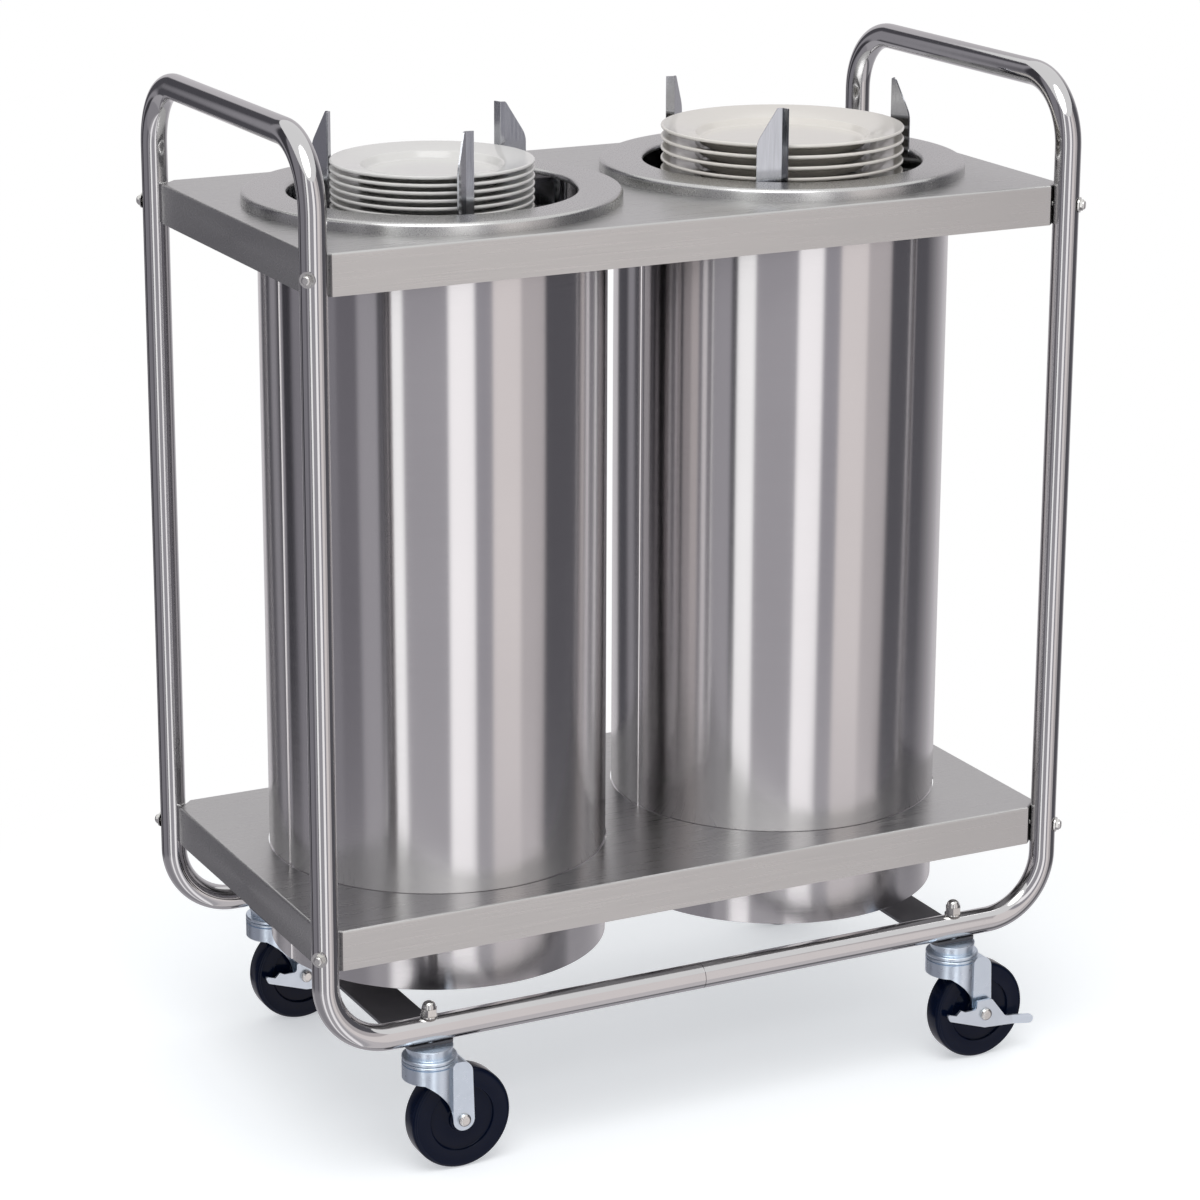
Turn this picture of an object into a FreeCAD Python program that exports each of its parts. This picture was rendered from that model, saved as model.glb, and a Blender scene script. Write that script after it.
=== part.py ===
"""Mobile plate dispenser: two sprung plate wells hung in a bent-tube trolley on four casters.

Millimetres. +X runs along the long side, +Y to the back and +Z up. The origin is on the floor,
under the middle of the trolley.
"""
import FreeCAD, Part
import math
import os

from FreeCAD import Vector

# Trolley frame: two bent tubes, each a handle, two uprights and two half rails
TUBE_OD = 25.4
TUBE_WALL = 1.65
FRAME_END_GAP = 38.3
FRAME_SIDE_GAP = 32.4
HANDLE_RISE = 112.9
TUBE_BEND = 64.0
SLEEVE_LENGTH = 90.0
SLEEVE_WALL = 2.0

# Decks: folded sheet pans whose clipped corners bear on the uprights
TOP_DECK_HEIGHT = 893.6
LOWER_DECK_HEIGHT = 256.4
APRON_DEPTH = 39.0
DECK_SHEET = 1.2
DECK_BEND = 2.5
DECK_HOLE_GAP = 1.0

# Corner bolts of the decks
BOLT_DROP = 19.5
BOLT_DIA = 6.35
BOLT_HEAD_AF = 11.1
BOLT_HEAD_HEIGHT = 4.2
WASHER_DIA = 15.0
WASHER_THICKNESS = 1.4
NUT_AF = 9.5
NUT_HEX_HEIGHT = 2.8
NUT_DOME_HEIGHT = 2.2

# Cross plates under the rails, one at each pair of casters
CROSS_WIDTH = 47.6
CROSS_THICKNESS = 3.0
CROSS_OVERHANG = 6.0
CROSS_CORNER = 5.0

# Casters
CASTER_INSET = 104.3
CASTER_HEIGHT = 127.8
CASTER_TRAIL = 28.5
STEM_DIA = 9.5
STEM_NUT_AF = 14.3
STEM_NUT_HEX_HEIGHT = 7.0
STEM_NUT_DOME_HEIGHT = 7.0
STEM_WASHER_DIA = 17.0
CUP_TOP_DIA = 46.0
CUP_BOTTOM_DIA = 42.0
CUP_HEIGHT = 9.5
RACE_DIA = 53.0
RACE_HEIGHT = 3.8
RACE_BORE = 36.0
RACE_ROUND = 1.4
RACE_GAP = 0.4
KINGPIN_DIA = 12.0
KINGPIN_HEAD_DIA = 22.0
KINGPIN_HEAD_HEIGHT = 2.5
KINGPIN_GAP = 0.3

# Caster yoke: a pressed horn with a round skirt in front and two flat legs
YOKE_SHEET = 2.5
YOKE_DIA = 53.0
YOKE_SKIRT_HEIGHT = 14.5
YOKE_LEG_OUTER_WIDTH = 31.0
YOKE_LEG_WIDTH = 19.0
YOKE_LEG_END_DIA = 22.0
YOKE_WEB_ANGLE = 70.0
YOKE_SWEEP_START = 43.0
YOKE_SWEEP_BULGE = 6.0
YOKE_SHOULDER = 11.5

# Wheels and axles
WHEEL_DIA = 101.6
WHEEL_WIDTH = 24.0
WHEEL_SHOULDER = 5.0
WHEEL_STEP_DIA = 65.0
WHEEL_STEP_DEPTH = 3.5
HUB_DIA = 26.0
HUB_GAP = 0.6
BUSH_DIA = 13.0
AXLE_DIA = 8.0
AXLE_HEAD_DIA = 13.0
AXLE_HEAD_HEIGHT = 4.4
AXLE_HEAD_ROUND = 3.2
AXLE_NUT_AF = 12.7
AXLE_NUT_HEIGHT = 6.4
AXLE_TIP = 1.5

# Brake lever: a toothed plate that rocks on the axle
LEVER_SHEET = 2.5
LEVER_GAP = 0.2
LEVER_STANDOFF = 3.7
LEVER_HUB_DIA = 16.0
LEVER_TAIL = 47.0
LEVER_PEDAL = 55.0
LEVER_HUMP = 15.0
LEVER_KEEL = 15.0
LEVER_PEDAL_WIDTH = 9.5
LEVER_PEDAL_DROP = 7.0
LEVER_PEDAL_START = 34.0
LEVER_PEDAL_LIFT = 4.6
LEVER_TOOTH = 5.0

# Wells: sheet tubes that hang from flanges on the top deck
WELL_OD = 332.0
WELL_GAP = 47.0
WELL_WALL = 1.2
WELL_BOTTOM = 158.5
FLANGE_OVERHANG = 14.5
FLANGE_INSET = 28.5
FLANGE_RISE = 11.0
FLANGE_SHEET = 1.5
FLANGE_ROLL = 4.5
FLANGE_LIP = 4.0
FLANGE_COLLAR = 5.0

# Rings inside the wells
RING_SHEET = 2.5
HANGER_DROP = 22.0
HANGER_INSET = 23.0
BASE_RISE = 8.0
BASE_INSET = 76.0

# Swing guides: blades on vertical rods, set to the plate size by turning them
ROD_DIA = 8.0
ROD_INSET = 14.0
ROD_TOP_GAP = 2.0
SMALLEST_PLATE_DIA = 184.0
GUIDE_SHEET = 1.6
GUIDE_BLADE = 25.0
GUIDE_FOLD = 8.0
GUIDE_FOLD_ANGLE = 60.0
GUIDE_RISE = 80.0
GUIDE_TIP = 5.0
GUIDE_TIP_ROUND = 2.0
GUIDE_SLANT = 33.0
GUIDE_SHOULDER = 24.0
GUIDE_ARM_HEIGHT = 26.0
GUIDE_SLEEVE_DIA = 13.0
GUIDE_END_GAP = 12.0
GUIDES = 3
LEFT_ROD_ANGLE = 10.9
RIGHT_ROD_ANGLE = -22.2
LEFT_GUIDE_GAP = 0.8
RIGHT_GUIDE_GAP = 5.2

# Carriers: a platform on a cage whose arms hang from the springs
PLATFORM_DIA = 164.0
PLATFORM_SHEET = 1.5
PLATFORM_RIM = 9.0
PLATFORM_BEND = 3.0
PLATFORM_HOLES = 6
PLATFORM_HOLE_DIA = 26.0
PLATFORM_HOLE_PITCH_DIA = 100.0
CAGE_DEPTH = 205.0
CAGE_BAR_WIDTH = 16.0
CAGE_BAR_THICKNESS = 4.0
CAGE_LEG_PITCH_DIA = 140.0
CAGE_HUB_DIA = 60.0
CAGE_HUB_BORE = 36.0
CARRIER_OFFSET_ANGLE = 75.0
GLIDE_HEIGHT = 40.0
GLIDE_DEPTH = 12.0
GLIDE_GAP = 0.4

# Extension springs between the hanger rings and the cage arms
SPRING_COIL_DIA = 12.0
SPRING_WIRE = 2.0
SPRING_TURNS = 16
SPRING_LEG = 12.0

# China: diameter, height, foot ring and stacking pitch of each kind of plate
SIDE_PLATE_DIA = 194.0
SIDE_PLATE_HEIGHT = 19.5
SIDE_PLATE_PITCH = 7.3
SIDE_PLATE_FOOT = 3.6
SIDE_PLATE_WELL_DIA = 132.0
SIDE_PLATE_RIM_RISE = 5.0
SIDE_PLATE_COUNT = 9
SIDE_PLATE_TOP = 39.0
DINNER_PLATE_DIA = 240.0
DINNER_PLATE_HEIGHT = 25.0
DINNER_PLATE_PITCH = 10.8
DINNER_PLATE_FOOT = 6.0
DINNER_PLATE_WELL_DIA = 168.0
DINNER_PLATE_RIM_RISE = 8.0
DINNER_PLATE_COUNT = 6
DINNER_PLATE_TOP = 44.0
PLATE_RIM_THICKNESS = 3.4
PLATE_FOOT_WIDTH = 5.0

# Fits: radial clearances
BOLT_CLEARANCE = 0.25
THREAD_CLEARANCE = 0.05
RUNNING_CLEARANCE = 0.05
SLIP_CLEARANCE = 0.1

# Places worked out from the sizes above
TUBE_R = TUBE_OD / 2
WELL_X = (WELL_OD + WELL_GAP) / 2
UPRIGHT_X = WELL_X + WELL_OD / 2 + FRAME_END_GAP
UPRIGHT_Y = WELL_OD / 2 + FRAME_SIDE_GAP
RAIL_Z = CASTER_HEIGHT + CROSS_THICKNESS + TUBE_R
HANDLE_Z = TOP_DECK_HEIGHT + HANDLE_RISE - TUBE_R
CASTER_X = UPRIGHT_X - CASTER_INSET
AXLE_Z = WHEEL_DIA / 2
RACE_TOP = CASTER_HEIGHT - CUP_HEIGHT
YOKE_TOP = RACE_TOP - 2 * RACE_HEIGHT - RACE_GAP
WELL_INNER_R = WELL_OD / 2 - WELL_WALL
WELL_TOP = TOP_DECK_HEIGHT + FLANGE_RISE - FLANGE_SHEET
HANGER_TOP = TOP_DECK_HEIGHT - HANGER_DROP
BASE_TOP = WELL_BOTTOM + BASE_RISE + RING_SHEET
ROD_R = WELL_OD / 2 - ROD_INSET
GUIDE_ARM = ROD_R - SMALLEST_PLATE_DIA / 2
SIDES = (-1, 1)
CORNERS = [(sx, sy) for sx in SIDES for sy in SIDES]
UP = Vector(0, 0, 1)
ALONG_X = Vector(1, 0, 0)
ALONG_Y = Vector(0, 1, 0)
CASTERS = {
    "front_left": (-CASTER_X, -UPRIGHT_Y, False),
    "front_right": (CASTER_X, -UPRIGHT_Y, True),
    "back_left": (-CASTER_X, UPRIGHT_Y, True),
    "back_right": (CASTER_X, UPRIGHT_Y, False),
}


# Drawing helpers

def rounded_wire(corners, closed):
    """Wire through corners given as (point, radius), each rounded by a tangent arc."""
    stations = []
    for index, (point, radius) in enumerate(corners):
        is_end = not closed and index in (0, len(corners) - 1)
        if is_end or radius <= 0:
            stations.append((point, None, point))
            continue
        back = (corners[index - 1][0] - point).normalize()
        ahead = (corners[(index + 1) % len(corners)][0] - point).normalize()
        half = back.getAngle(ahead) / 2
        reach = radius / math.tan(half)
        centre = point + (back + ahead).normalize() * (radius / math.sin(half))
        middle = centre + (point - centre).normalize() * radius
        stations.append((point + back * reach, middle, point + ahead * reach))
    edges = []
    for index, (arrive, middle, leave) in enumerate(stations):
        if middle is not None:
            edges.append(Part.Arc(arrive, middle, leave).toShape())
        last = index == len(stations) - 1
        if last and not closed:
            continue
        following = stations[(index + 1) % len(stations)][0]
        if leave.distanceToPoint(following) > 1e-6:
            edges.append(Part.LineSegment(leave, following).toShape())
    return Part.Wire(edges)


def swept(path, radius):
    """Round bar along a path."""
    first = path.OrderedEdges[0]
    start = first.valueAt(first.FirstParameter)
    heading = first.tangentAt(first.FirstParameter)
    section = Part.Wire([Part.makeCircle(radius, start, heading)])
    return path.makePipeShell([section], True, False)


def turned(corners):
    """Solid of revolution about Z from rounded corners given as (radius, height, rounding)."""
    profile = [(Vector(radius, 0, height), rounding) for radius, height, rounding in corners]
    return Part.Face(rounded_wire(profile, True)).revolve(Vector(), UP, 360)


def prism(corners, height, base_z):
    """Upright prism on rounded plan corners given as (x, y, rounding)."""
    outline = [(Vector(x, y, base_z), rounding) for x, y, rounding in corners]
    return Part.Face(rounded_wire(outline, True)).extrude(UP * height)


def bar(radius, base, axis, length):
    """Round bar from a base point along an axis."""
    return Part.makeCylinder(radius, length, base, axis)


def pipe(outer, inner, length, base, axis=UP):
    """Straight pipe from a base point along an axis."""
    return bar(outer, base, axis, length).cut(bar(inner, base, axis, length))


def hexagon(across_flats, height, base_z):
    """Hexagonal prism on the Z axis."""
    corner_r = across_flats / math.sqrt(3)
    corners = [polar(corner_r, 60 * index, base_z) for index in range(6)]
    outline = Part.makePolygon(corners + corners[:1])
    return Part.Face(outline).extrude(UP * height)


def polar(radius, degrees, z=0.0):
    """Point at a radius and plan angle."""
    angle = math.radians(degrees)
    return Vector(radius * math.cos(angle), radius * math.sin(angle), z)


def placed(shape, base, axis=UP):
    """Copy of a shape drawn on Z, stood at a base point along an axis."""
    copy = shape.copy()
    copy.Placement = FreeCAD.Placement(base, FreeCAD.Rotation(UP, axis))
    return copy


def turned_to(shape, degrees, base):
    """Copy of a shape turned about Z and moved to a base point."""
    copy = shape.copy()
    copy.Placement = FreeCAD.Placement(base, FreeCAD.Rotation(UP, degrees))
    return copy


def group(shapes):
    """Separate solids kept together as one piece of the list."""
    return Part.makeCompound(list(shapes))


# Trolley frame

def diagonal(sx, sy):
    """Outward direction of a corner bolt."""
    return Vector(sx, sy, 0).normalize()


def corner_bolt_places():
    """Axis point on the upright and outward direction of each corner bolt."""
    places = []
    for deck_height in (TOP_DECK_HEIGHT, LOWER_DECK_HEIGHT):
        for sx, sy in CORNERS:
            axis_point = Vector(sx * UPRIGHT_X, sy * UPRIGHT_Y, deck_height - BOLT_DROP)
            places.append((axis_point, diagonal(sx, sy)))
    return places


def end_frame(side):
    """One bent tube: half rail, upright, handle, upright, half rail."""
    x = side * UPRIGHT_X
    path = rounded_wire([
        (Vector(0, -UPRIGHT_Y, RAIL_Z), 0),
        (Vector(x, -UPRIGHT_Y, RAIL_Z), TUBE_BEND),
        (Vector(x, -UPRIGHT_Y, HANDLE_Z), TUBE_BEND),
        (Vector(x, UPRIGHT_Y, HANDLE_Z), TUBE_BEND),
        (Vector(x, UPRIGHT_Y, RAIL_Z), TUBE_BEND),
        (Vector(0, UPRIGHT_Y, RAIL_Z), 0),
    ], False)
    tube = swept(path, TUBE_R).cut(swept(path, TUBE_R - TUBE_WALL))
    holes = []
    for axis_point, outward in corner_bolt_places():
        if axis_point.x * side > 0:
            start = axis_point - outward * TUBE_OD
            holes.append(bar(BOLT_DIA / 2 + BOLT_CLEARANCE, start, outward, 2 * TUBE_OD))
    for sy in SIDES:
        start = Vector(side * CASTER_X, sy * UPRIGHT_Y, RAIL_Z - TUBE_OD)
        holes.append(bar(STEM_DIA / 2 + BOLT_CLEARANCE, start, UP, 2 * TUBE_OD))
    return tube.cut(holes)


def rail_sleeves():
    """Inner sleeves that join the half rails in the middle of each side."""
    outer = TUBE_R - TUBE_WALL - SLIP_CLEARANCE
    start_x = -SLEEVE_LENGTH / 2
    starts = [Vector(start_x, sy * UPRIGHT_Y, RAIL_Z) for sy in SIDES]
    return group(pipe(outer, outer - SLEEVE_WALL, SLEEVE_LENGTH, start, ALONG_X) for start in starts)


# Decks

def clipped_plan(inset):
    """Deck outline with 45 degree corners tangent to the uprights, moved in by an inset."""
    x = UPRIGHT_X - inset
    y = UPRIGHT_Y - inset
    clip = TUBE_R * math.sqrt(2) - inset * (2 - math.sqrt(2))
    return [
        (x - clip, y, 0), (-x + clip, y, 0), (-x, y - clip, 0), (-x, -y + clip, 0),
        (-x + clip, -y, 0), (x - clip, -y, 0), (x, -y + clip, 0), (x, y - clip, 0),
    ]


def with_rounded_top(shape, radius):
    """Rounds the edges of a prism's top face."""
    top = max(shape.Faces, key=lambda face: face.CenterOfMass.z)
    return shape.makeFillet(radius, top.Edges)


def deck(height):
    """Folded sheet pan, open below, with a hole for each well and for each corner bolt."""
    bottom = height - APRON_DEPTH
    outer = with_rounded_top(prism(clipped_plan(0), APRON_DEPTH, bottom), DECK_BEND)
    hollow = prism(clipped_plan(DECK_SHEET), APRON_DEPTH - DECK_SHEET, bottom)
    pan = outer.cut(with_rounded_top(hollow, DECK_BEND - DECK_SHEET))
    hole_r = WELL_OD / 2 + DECK_HOLE_GAP
    cuts = [bar(hole_r, Vector(side * WELL_X, 0, bottom), UP, 2 * APRON_DEPTH) for side in SIDES]
    for axis_point, outward in corner_bolt_places():
        if abs(axis_point.z - height + BOLT_DROP) < DECK_SHEET:
            start = axis_point - outward * 2 * TUBE_OD
            cuts.append(bar(BOLT_DIA / 2 + BOLT_CLEARANCE, start, outward, 2 * TUBE_OD))
    return pan.cut(cuts)


# Fasteners, drawn standing on Z

def dome_nut(across_flats, hex_height, dome_height, bore):
    """Acorn nut with a blind bore from below."""
    dome_r = across_flats * 0.46
    body = hexagon(across_flats, hex_height, 0)
    crown = turned([
        (0, 0, 0),
        (dome_r, 0, 0),
        (dome_r, hex_height + dome_height, dome_height * 0.8),
        (0, hex_height + dome_height, 0),
    ])
    return body.fuse(crown).removeSplitter().cut(bar(bore, Vector(), UP, hex_height))


def deck_bolts():
    """Bolts from inside each corner tab, through the upright and its washer into the nut."""
    below = TUBE_R + DECK_SHEET
    above = TUBE_R + WASHER_THICKNESS + NUT_HEX_HEIGHT
    head = hexagon(BOLT_HEAD_AF, BOLT_HEAD_HEIGHT, -below - BOLT_HEAD_HEIGHT)
    bolt = head.fuse(bar(BOLT_DIA / 2, Vector(0, 0, -below), UP, below + above))
    return group(placed(bolt, point, outward) for point, outward in corner_bolt_places())


def deck_washers():
    """Washers between the uprights and the dome nuts."""
    washer = pipe(WASHER_DIA / 2, BOLT_DIA / 2 + BOLT_CLEARANCE, WASHER_THICKNESS, Vector(0, 0, TUBE_R))
    return group(placed(washer, point, outward) for point, outward in corner_bolt_places())


def deck_nuts():
    """Dome nuts on the corner bolts."""
    nut = dome_nut(NUT_AF, NUT_HEX_HEIGHT, NUT_DOME_HEIGHT, BOLT_DIA / 2 + THREAD_CLEARANCE)
    seat = TUBE_R + WASHER_THICKNESS
    return group(placed(nut, point + outward * seat, outward) for point, outward in corner_bolt_places())


def caster_points(z):
    """Point on each swivel axis at a height."""
    return [Vector(x, y, z) for x, y, _ in CASTERS.values()]


def stem_washers():
    """Washers on top of the rails, under the stem nuts."""
    bore = STEM_DIA / 2 + BOLT_CLEARANCE
    washer = pipe(STEM_WASHER_DIA / 2, bore, WASHER_THICKNESS, Vector())
    return group(placed(washer, point) for point in caster_points(RAIL_Z + TUBE_R))


def stem_nuts():
    """Dome nuts on the caster stems."""
    nut = dome_nut(STEM_NUT_AF, STEM_NUT_HEX_HEIGHT, STEM_NUT_DOME_HEIGHT, STEM_DIA / 2 + THREAD_CLEARANCE)
    return group(placed(nut, point) for point in caster_points(RAIL_Z + TUBE_R + WASHER_THICKNESS))


def cross_plates():
    """Flat bars under the front and back rails, clamped by the caster stems."""
    half_x = CROSS_WIDTH / 2
    half_y = UPRIGHT_Y + CROSS_OVERHANG
    plan = [
        (half_x, half_y, CROSS_CORNER), (-half_x, half_y, CROSS_CORNER),
        (-half_x, -half_y, CROSS_CORNER), (half_x, -half_y, CROSS_CORNER),
    ]
    plate = prism(plan, CROSS_THICKNESS, CASTER_HEIGHT)
    for sy in SIDES:
        start = Vector(0, sy * UPRIGHT_Y, CASTER_HEIGHT)
        plate = plate.cut(bar(STEM_DIA / 2 + BOLT_CLEARANCE, start, UP, CROSS_THICKNESS))
    return group(placed(plate, Vector(side * CASTER_X, 0, 0)) for side in SIDES)


# Casters, drawn with the swivel axis on Z and the wheel trailing to +X

def caster_mount():
    """Fixed top of a caster: stem, cup, upper raceway and kingpin in one turned piece."""
    stem_top = RAIL_Z + TUBE_R + WASHER_THICKNESS + STEM_NUT_HEX_HEIGHT
    head_top = YOKE_TOP - YOKE_SHEET - KINGPIN_GAP
    race_bottom = RACE_TOP - RACE_HEIGHT
    return turned([
        (0, head_top - KINGPIN_HEAD_HEIGHT, 0),
        (KINGPIN_HEAD_DIA / 2, head_top - KINGPIN_HEAD_HEIGHT, 0),
        (KINGPIN_HEAD_DIA / 2, head_top, 0),
        (KINGPIN_DIA / 2, head_top, 0),
        (KINGPIN_DIA / 2, race_bottom, 0),
        (RACE_DIA / 2, race_bottom, RACE_ROUND),
        (RACE_DIA / 2, RACE_TOP, RACE_ROUND),
        (CUP_BOTTOM_DIA / 2, RACE_TOP, 0),
        (CUP_TOP_DIA / 2, CASTER_HEIGHT, 0),
        (STEM_DIA / 2, CASTER_HEIGHT, 0),
        (STEM_DIA / 2, stem_top, 0),
        (0, stem_top, 0),
    ])


def yoke_plan(inset, rear_x, z):
    """Horn outline: round in front, webs that close in, then two parallel legs."""
    skirt_r = YOKE_DIA / 2 - inset
    leg_y = YOKE_LEG_OUTER_WIDTH / 2 - inset
    crease_x = CASTER_TRAIL - YOKE_LEG_END_DIA / 2
    web_start = polar(skirt_r, YOKE_WEB_ANGLE, z)
    web_mirror = polar(skirt_r, -YOKE_WEB_ANGLE, z)
    front = Part.Arc(web_start, Vector(-skirt_r, 0, z), web_mirror).toShape()
    sides = Part.makePolygon([
        web_mirror,
        Vector(crease_x, -leg_y, z),
        Vector(rear_x, -leg_y, z),
        Vector(rear_x, leg_y, z),
        Vector(crease_x, leg_y, z),
        web_start,
    ])
    return Part.Face(Part.Wire([front] + sides.Edges))


def yoke_side():
    """Side view of the horn: skirt, swept front edges, round shoulders and legs with round ends."""
    end_r = YOKE_LEG_END_DIA / 2
    front_x = -YOKE_DIA
    skirt_z = YOKE_TOP - YOKE_SKIRT_HEIGHT
    half_y = YOKE_DIA
    sweep_start = Vector(CASTER_TRAIL - YOKE_SWEEP_START, -half_y, skirt_z)
    sweep_end = Vector(CASTER_TRAIL - end_r, -half_y, AXLE_Z)
    chord = sweep_end - sweep_start
    bulge = Vector(-chord.z, 0, chord.x).normalize() * YOKE_SWEEP_BULGE
    leg_end = Vector(CASTER_TRAIL, -half_y, AXLE_Z - end_r)
    leg_back = Vector(CASTER_TRAIL + end_r, -half_y, AXLE_Z)
    bend = Vector(CASTER_TRAIL + YOKE_LEG_WIDTH / 2 - YOKE_SHOULDER, -half_y, YOKE_TOP - YOKE_SHOULDER)
    bend_start = bend + ALONG_X * YOKE_SHOULDER
    bend_middle = bend + Vector(1, 0, 1).normalize() * YOKE_SHOULDER
    bend_end = bend + UP * YOKE_SHOULDER
    edges = [
        Part.Arc(sweep_start, (sweep_start + sweep_end) * 0.5 + bulge, sweep_end).toShape(),
        Part.Arc(sweep_end, leg_end, leg_back).toShape(),
        Part.LineSegment(leg_back, bend_start).toShape(),
        Part.Arc(bend_start, bend_middle, bend_end).toShape(),
    ]
    outline = Part.makePolygon([
        bend_end,
        Vector(front_x, -half_y, YOKE_TOP),
        Vector(front_x, -half_y, skirt_z),
        sweep_start,
    ])
    return Part.Face(Part.Wire(edges + outline.Edges)).extrude(ALONG_Y * 2 * half_y)


def yoke():
    """Pressed horn with the lower raceway on its crown."""
    foot_z = AXLE_Z - YOKE_LEG_END_DIA
    rear_x = CASTER_TRAIL + YOKE_LEG_END_DIA
    height = YOKE_TOP - foot_z
    horn = yoke_plan(0, rear_x, foot_z).extrude(UP * height)
    hollow = yoke_plan(YOKE_SHEET, 2 * rear_x, foot_z).extrude(UP * (height - YOKE_SHEET))
    horn = horn.cut(hollow).common(yoke_side())
    raceway = turned([
        (RACE_BORE / 2, YOKE_TOP - YOKE_SHEET / 2, 0),
        (RACE_DIA / 2 - RACE_ROUND, YOKE_TOP - YOKE_SHEET / 2, 0),
        (RACE_DIA / 2 - RACE_ROUND, YOKE_TOP, 0),
        (RACE_DIA / 2, YOKE_TOP + RACE_ROUND, 0),
        (RACE_DIA / 2, YOKE_TOP + RACE_HEIGHT, RACE_ROUND),
        (RACE_BORE / 2, YOKE_TOP + RACE_HEIGHT, 0),
    ])
    kingpin_hole = bar(KINGPIN_DIA / 2 + RUNNING_CLEARANCE, Vector(0, 0, foot_z), UP, 2 * height)
    axle_start = Vector(CASTER_TRAIL, -YOKE_DIA, AXLE_Z)
    axle_hole = bar(AXLE_DIA / 2 + RUNNING_CLEARANCE, axle_start, ALONG_Y, 2 * YOKE_DIA)
    return horn.fuse(raceway).removeSplitter().cut([kingpin_hole, axle_hole])


def axle(has_brake):
    """Axle bolt with its domed head in front and its nut behind, the lever under the head."""
    stack = LEVER_STANDOFF + LEVER_SHEET + 2 * LEVER_GAP if has_brake else 0
    front = -YOKE_LEG_OUTER_WIDTH / 2 - stack
    back = YOKE_LEG_OUTER_WIDTH / 2
    shaft = bar(AXLE_DIA / 2, Vector(0, 0, front), UP, back + AXLE_NUT_HEIGHT + AXLE_TIP - front)
    head_r = AXLE_HEAD_DIA / 2
    head_top = front - AXLE_HEAD_HEIGHT
    head = turned([(0, head_top, 0), (head_r, head_top, AXLE_HEAD_ROUND), (head_r, front, 0), (0, front, 0)])
    nut = hexagon(AXLE_NUT_AF, AXLE_NUT_HEIGHT, back)
    nut = nut.cut(bar(AXLE_DIA / 2 + THREAD_CLEARANCE, Vector(0, 0, back), UP, AXLE_NUT_HEIGHT))
    place = Vector(CASTER_TRAIL, 0, AXLE_Z)
    return group([placed(head.fuse(shaft), place, ALONG_Y), placed(nut, place, ALONG_Y)])


def wheel_bush():
    """Bush clamped between the legs, on which the wheel turns."""
    length = YOKE_LEG_OUTER_WIDTH - 2 * YOKE_SHEET
    bush = pipe(BUSH_DIA / 2, AXLE_DIA / 2 + RUNNING_CLEARANCE, length, Vector(0, 0, -length / 2))
    return placed(bush, Vector(CASTER_TRAIL, 0, AXLE_Z), ALONG_Y)


def wheel():
    """Solid wheel with round shoulders and a stepped web on both faces."""
    bore_r = BUSH_DIA / 2 + RUNNING_CLEARANCE
    half = WHEEL_WIDTH / 2
    web = half - WHEEL_STEP_DEPTH
    hub = YOKE_LEG_OUTER_WIDTH / 2 - YOKE_SHEET - HUB_GAP
    step_r = WHEEL_STEP_DIA / 2
    front = [
        (bore_r, -hub, 0), (HUB_DIA / 2, -hub, 1), (HUB_DIA / 2, -web, 2),
        (step_r, -web, 1.5), (step_r, -half, 1), (WHEEL_DIA / 2, -half, WHEEL_SHOULDER),
    ]
    back = [(radius, -height, rounding) for radius, height, rounding in reversed(front)]
    return placed(turned(front + back), Vector(CASTER_TRAIL, 0, AXLE_Z), ALONG_Y)


def lever_outline():
    """Side view of the lever about the axle: toothed tail, hump over the axle, keel and pedal."""
    notch = LEVER_HUMP * 0.4
    tooth_x = -LEVER_TAIL * 0.62
    tip_round = LEVER_PEDAL_WIDTH * 0.45
    tip_top = -LEVER_PEDAL_DROP - 2
    return [
        (-LEVER_TAIL, notch + LEVER_TOOTH, 1.5),
        (-LEVER_TAIL + LEVER_TOOTH, notch, 2),
        (tooth_x - LEVER_TOOTH, notch - LEVER_TOOTH * 0.5, 0),
        (tooth_x, notch + LEVER_TOOTH * 0.5, 0),
        (tooth_x + LEVER_TOOTH, notch, 2),
        (-LEVER_HUMP * 0.7, notch, 3),
        (-LEVER_HUMP * 0.65, LEVER_HUMP, 1.5),
        (LEVER_HUMP * 0.5, LEVER_HUMP, 5),
        (LEVER_PEDAL_START * 0.72, -LEVER_PEDAL_DROP, 6),
        (LEVER_PEDAL, tip_top, tip_round),
        (LEVER_PEDAL, tip_top - LEVER_PEDAL_WIDTH, tip_round),
        (0, -LEVER_KEEL, 8),
        (-LEVER_TAIL + LEVER_TOOTH, -1, 4),
    ]


def brake_lever():
    """Toothed lever plate outside the front leg, its pedal curved outwards."""
    outline = [(Vector(x, 0, z), rounding) for x, z, rounding in lever_outline()]
    depth = LEVER_PEDAL_LIFT + LEVER_SHEET
    plate = Part.Face(rounded_wire(outline, True)).extrude(ALONG_Y * -depth)
    reach = 2 * LEVER_PEDAL
    bend = [
        (-reach, 0, 0), (-reach, -LEVER_SHEET, 0),
        (LEVER_PEDAL_START, -LEVER_SHEET, 3 * LEVER_SHEET),
        (LEVER_PEDAL, -depth, 0), (LEVER_PEDAL, -depth + LEVER_SHEET, 0),
        (LEVER_PEDAL_START, 0, 4 * LEVER_SHEET),
    ]
    lever = plate.common(prism(bend, 2 * reach, -reach))
    boss = bar(LEVER_HUB_DIA / 2, Vector(), ALONG_Y, LEVER_STANDOFF)
    bore_start = Vector(0, -depth, 0)
    bore = bar(AXLE_DIA / 2 + RUNNING_CLEARANCE, bore_start, ALONG_Y, depth + LEVER_STANDOFF)
    front = -YOKE_LEG_OUTER_WIDTH / 2 - LEVER_GAP - LEVER_STANDOFF
    return placed(lever.fuse(boss).cut(bore), Vector(CASTER_TRAIL, front, AXLE_Z))


# Wells, drawn about their own axis

def well_shell():
    """Rolled sheet tube from under the flange to below the lower deck."""
    return pipe(WELL_OD / 2, WELL_INNER_R, WELL_TOP - WELL_BOTTOM, Vector(0, 0, WELL_BOTTOM))


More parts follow.
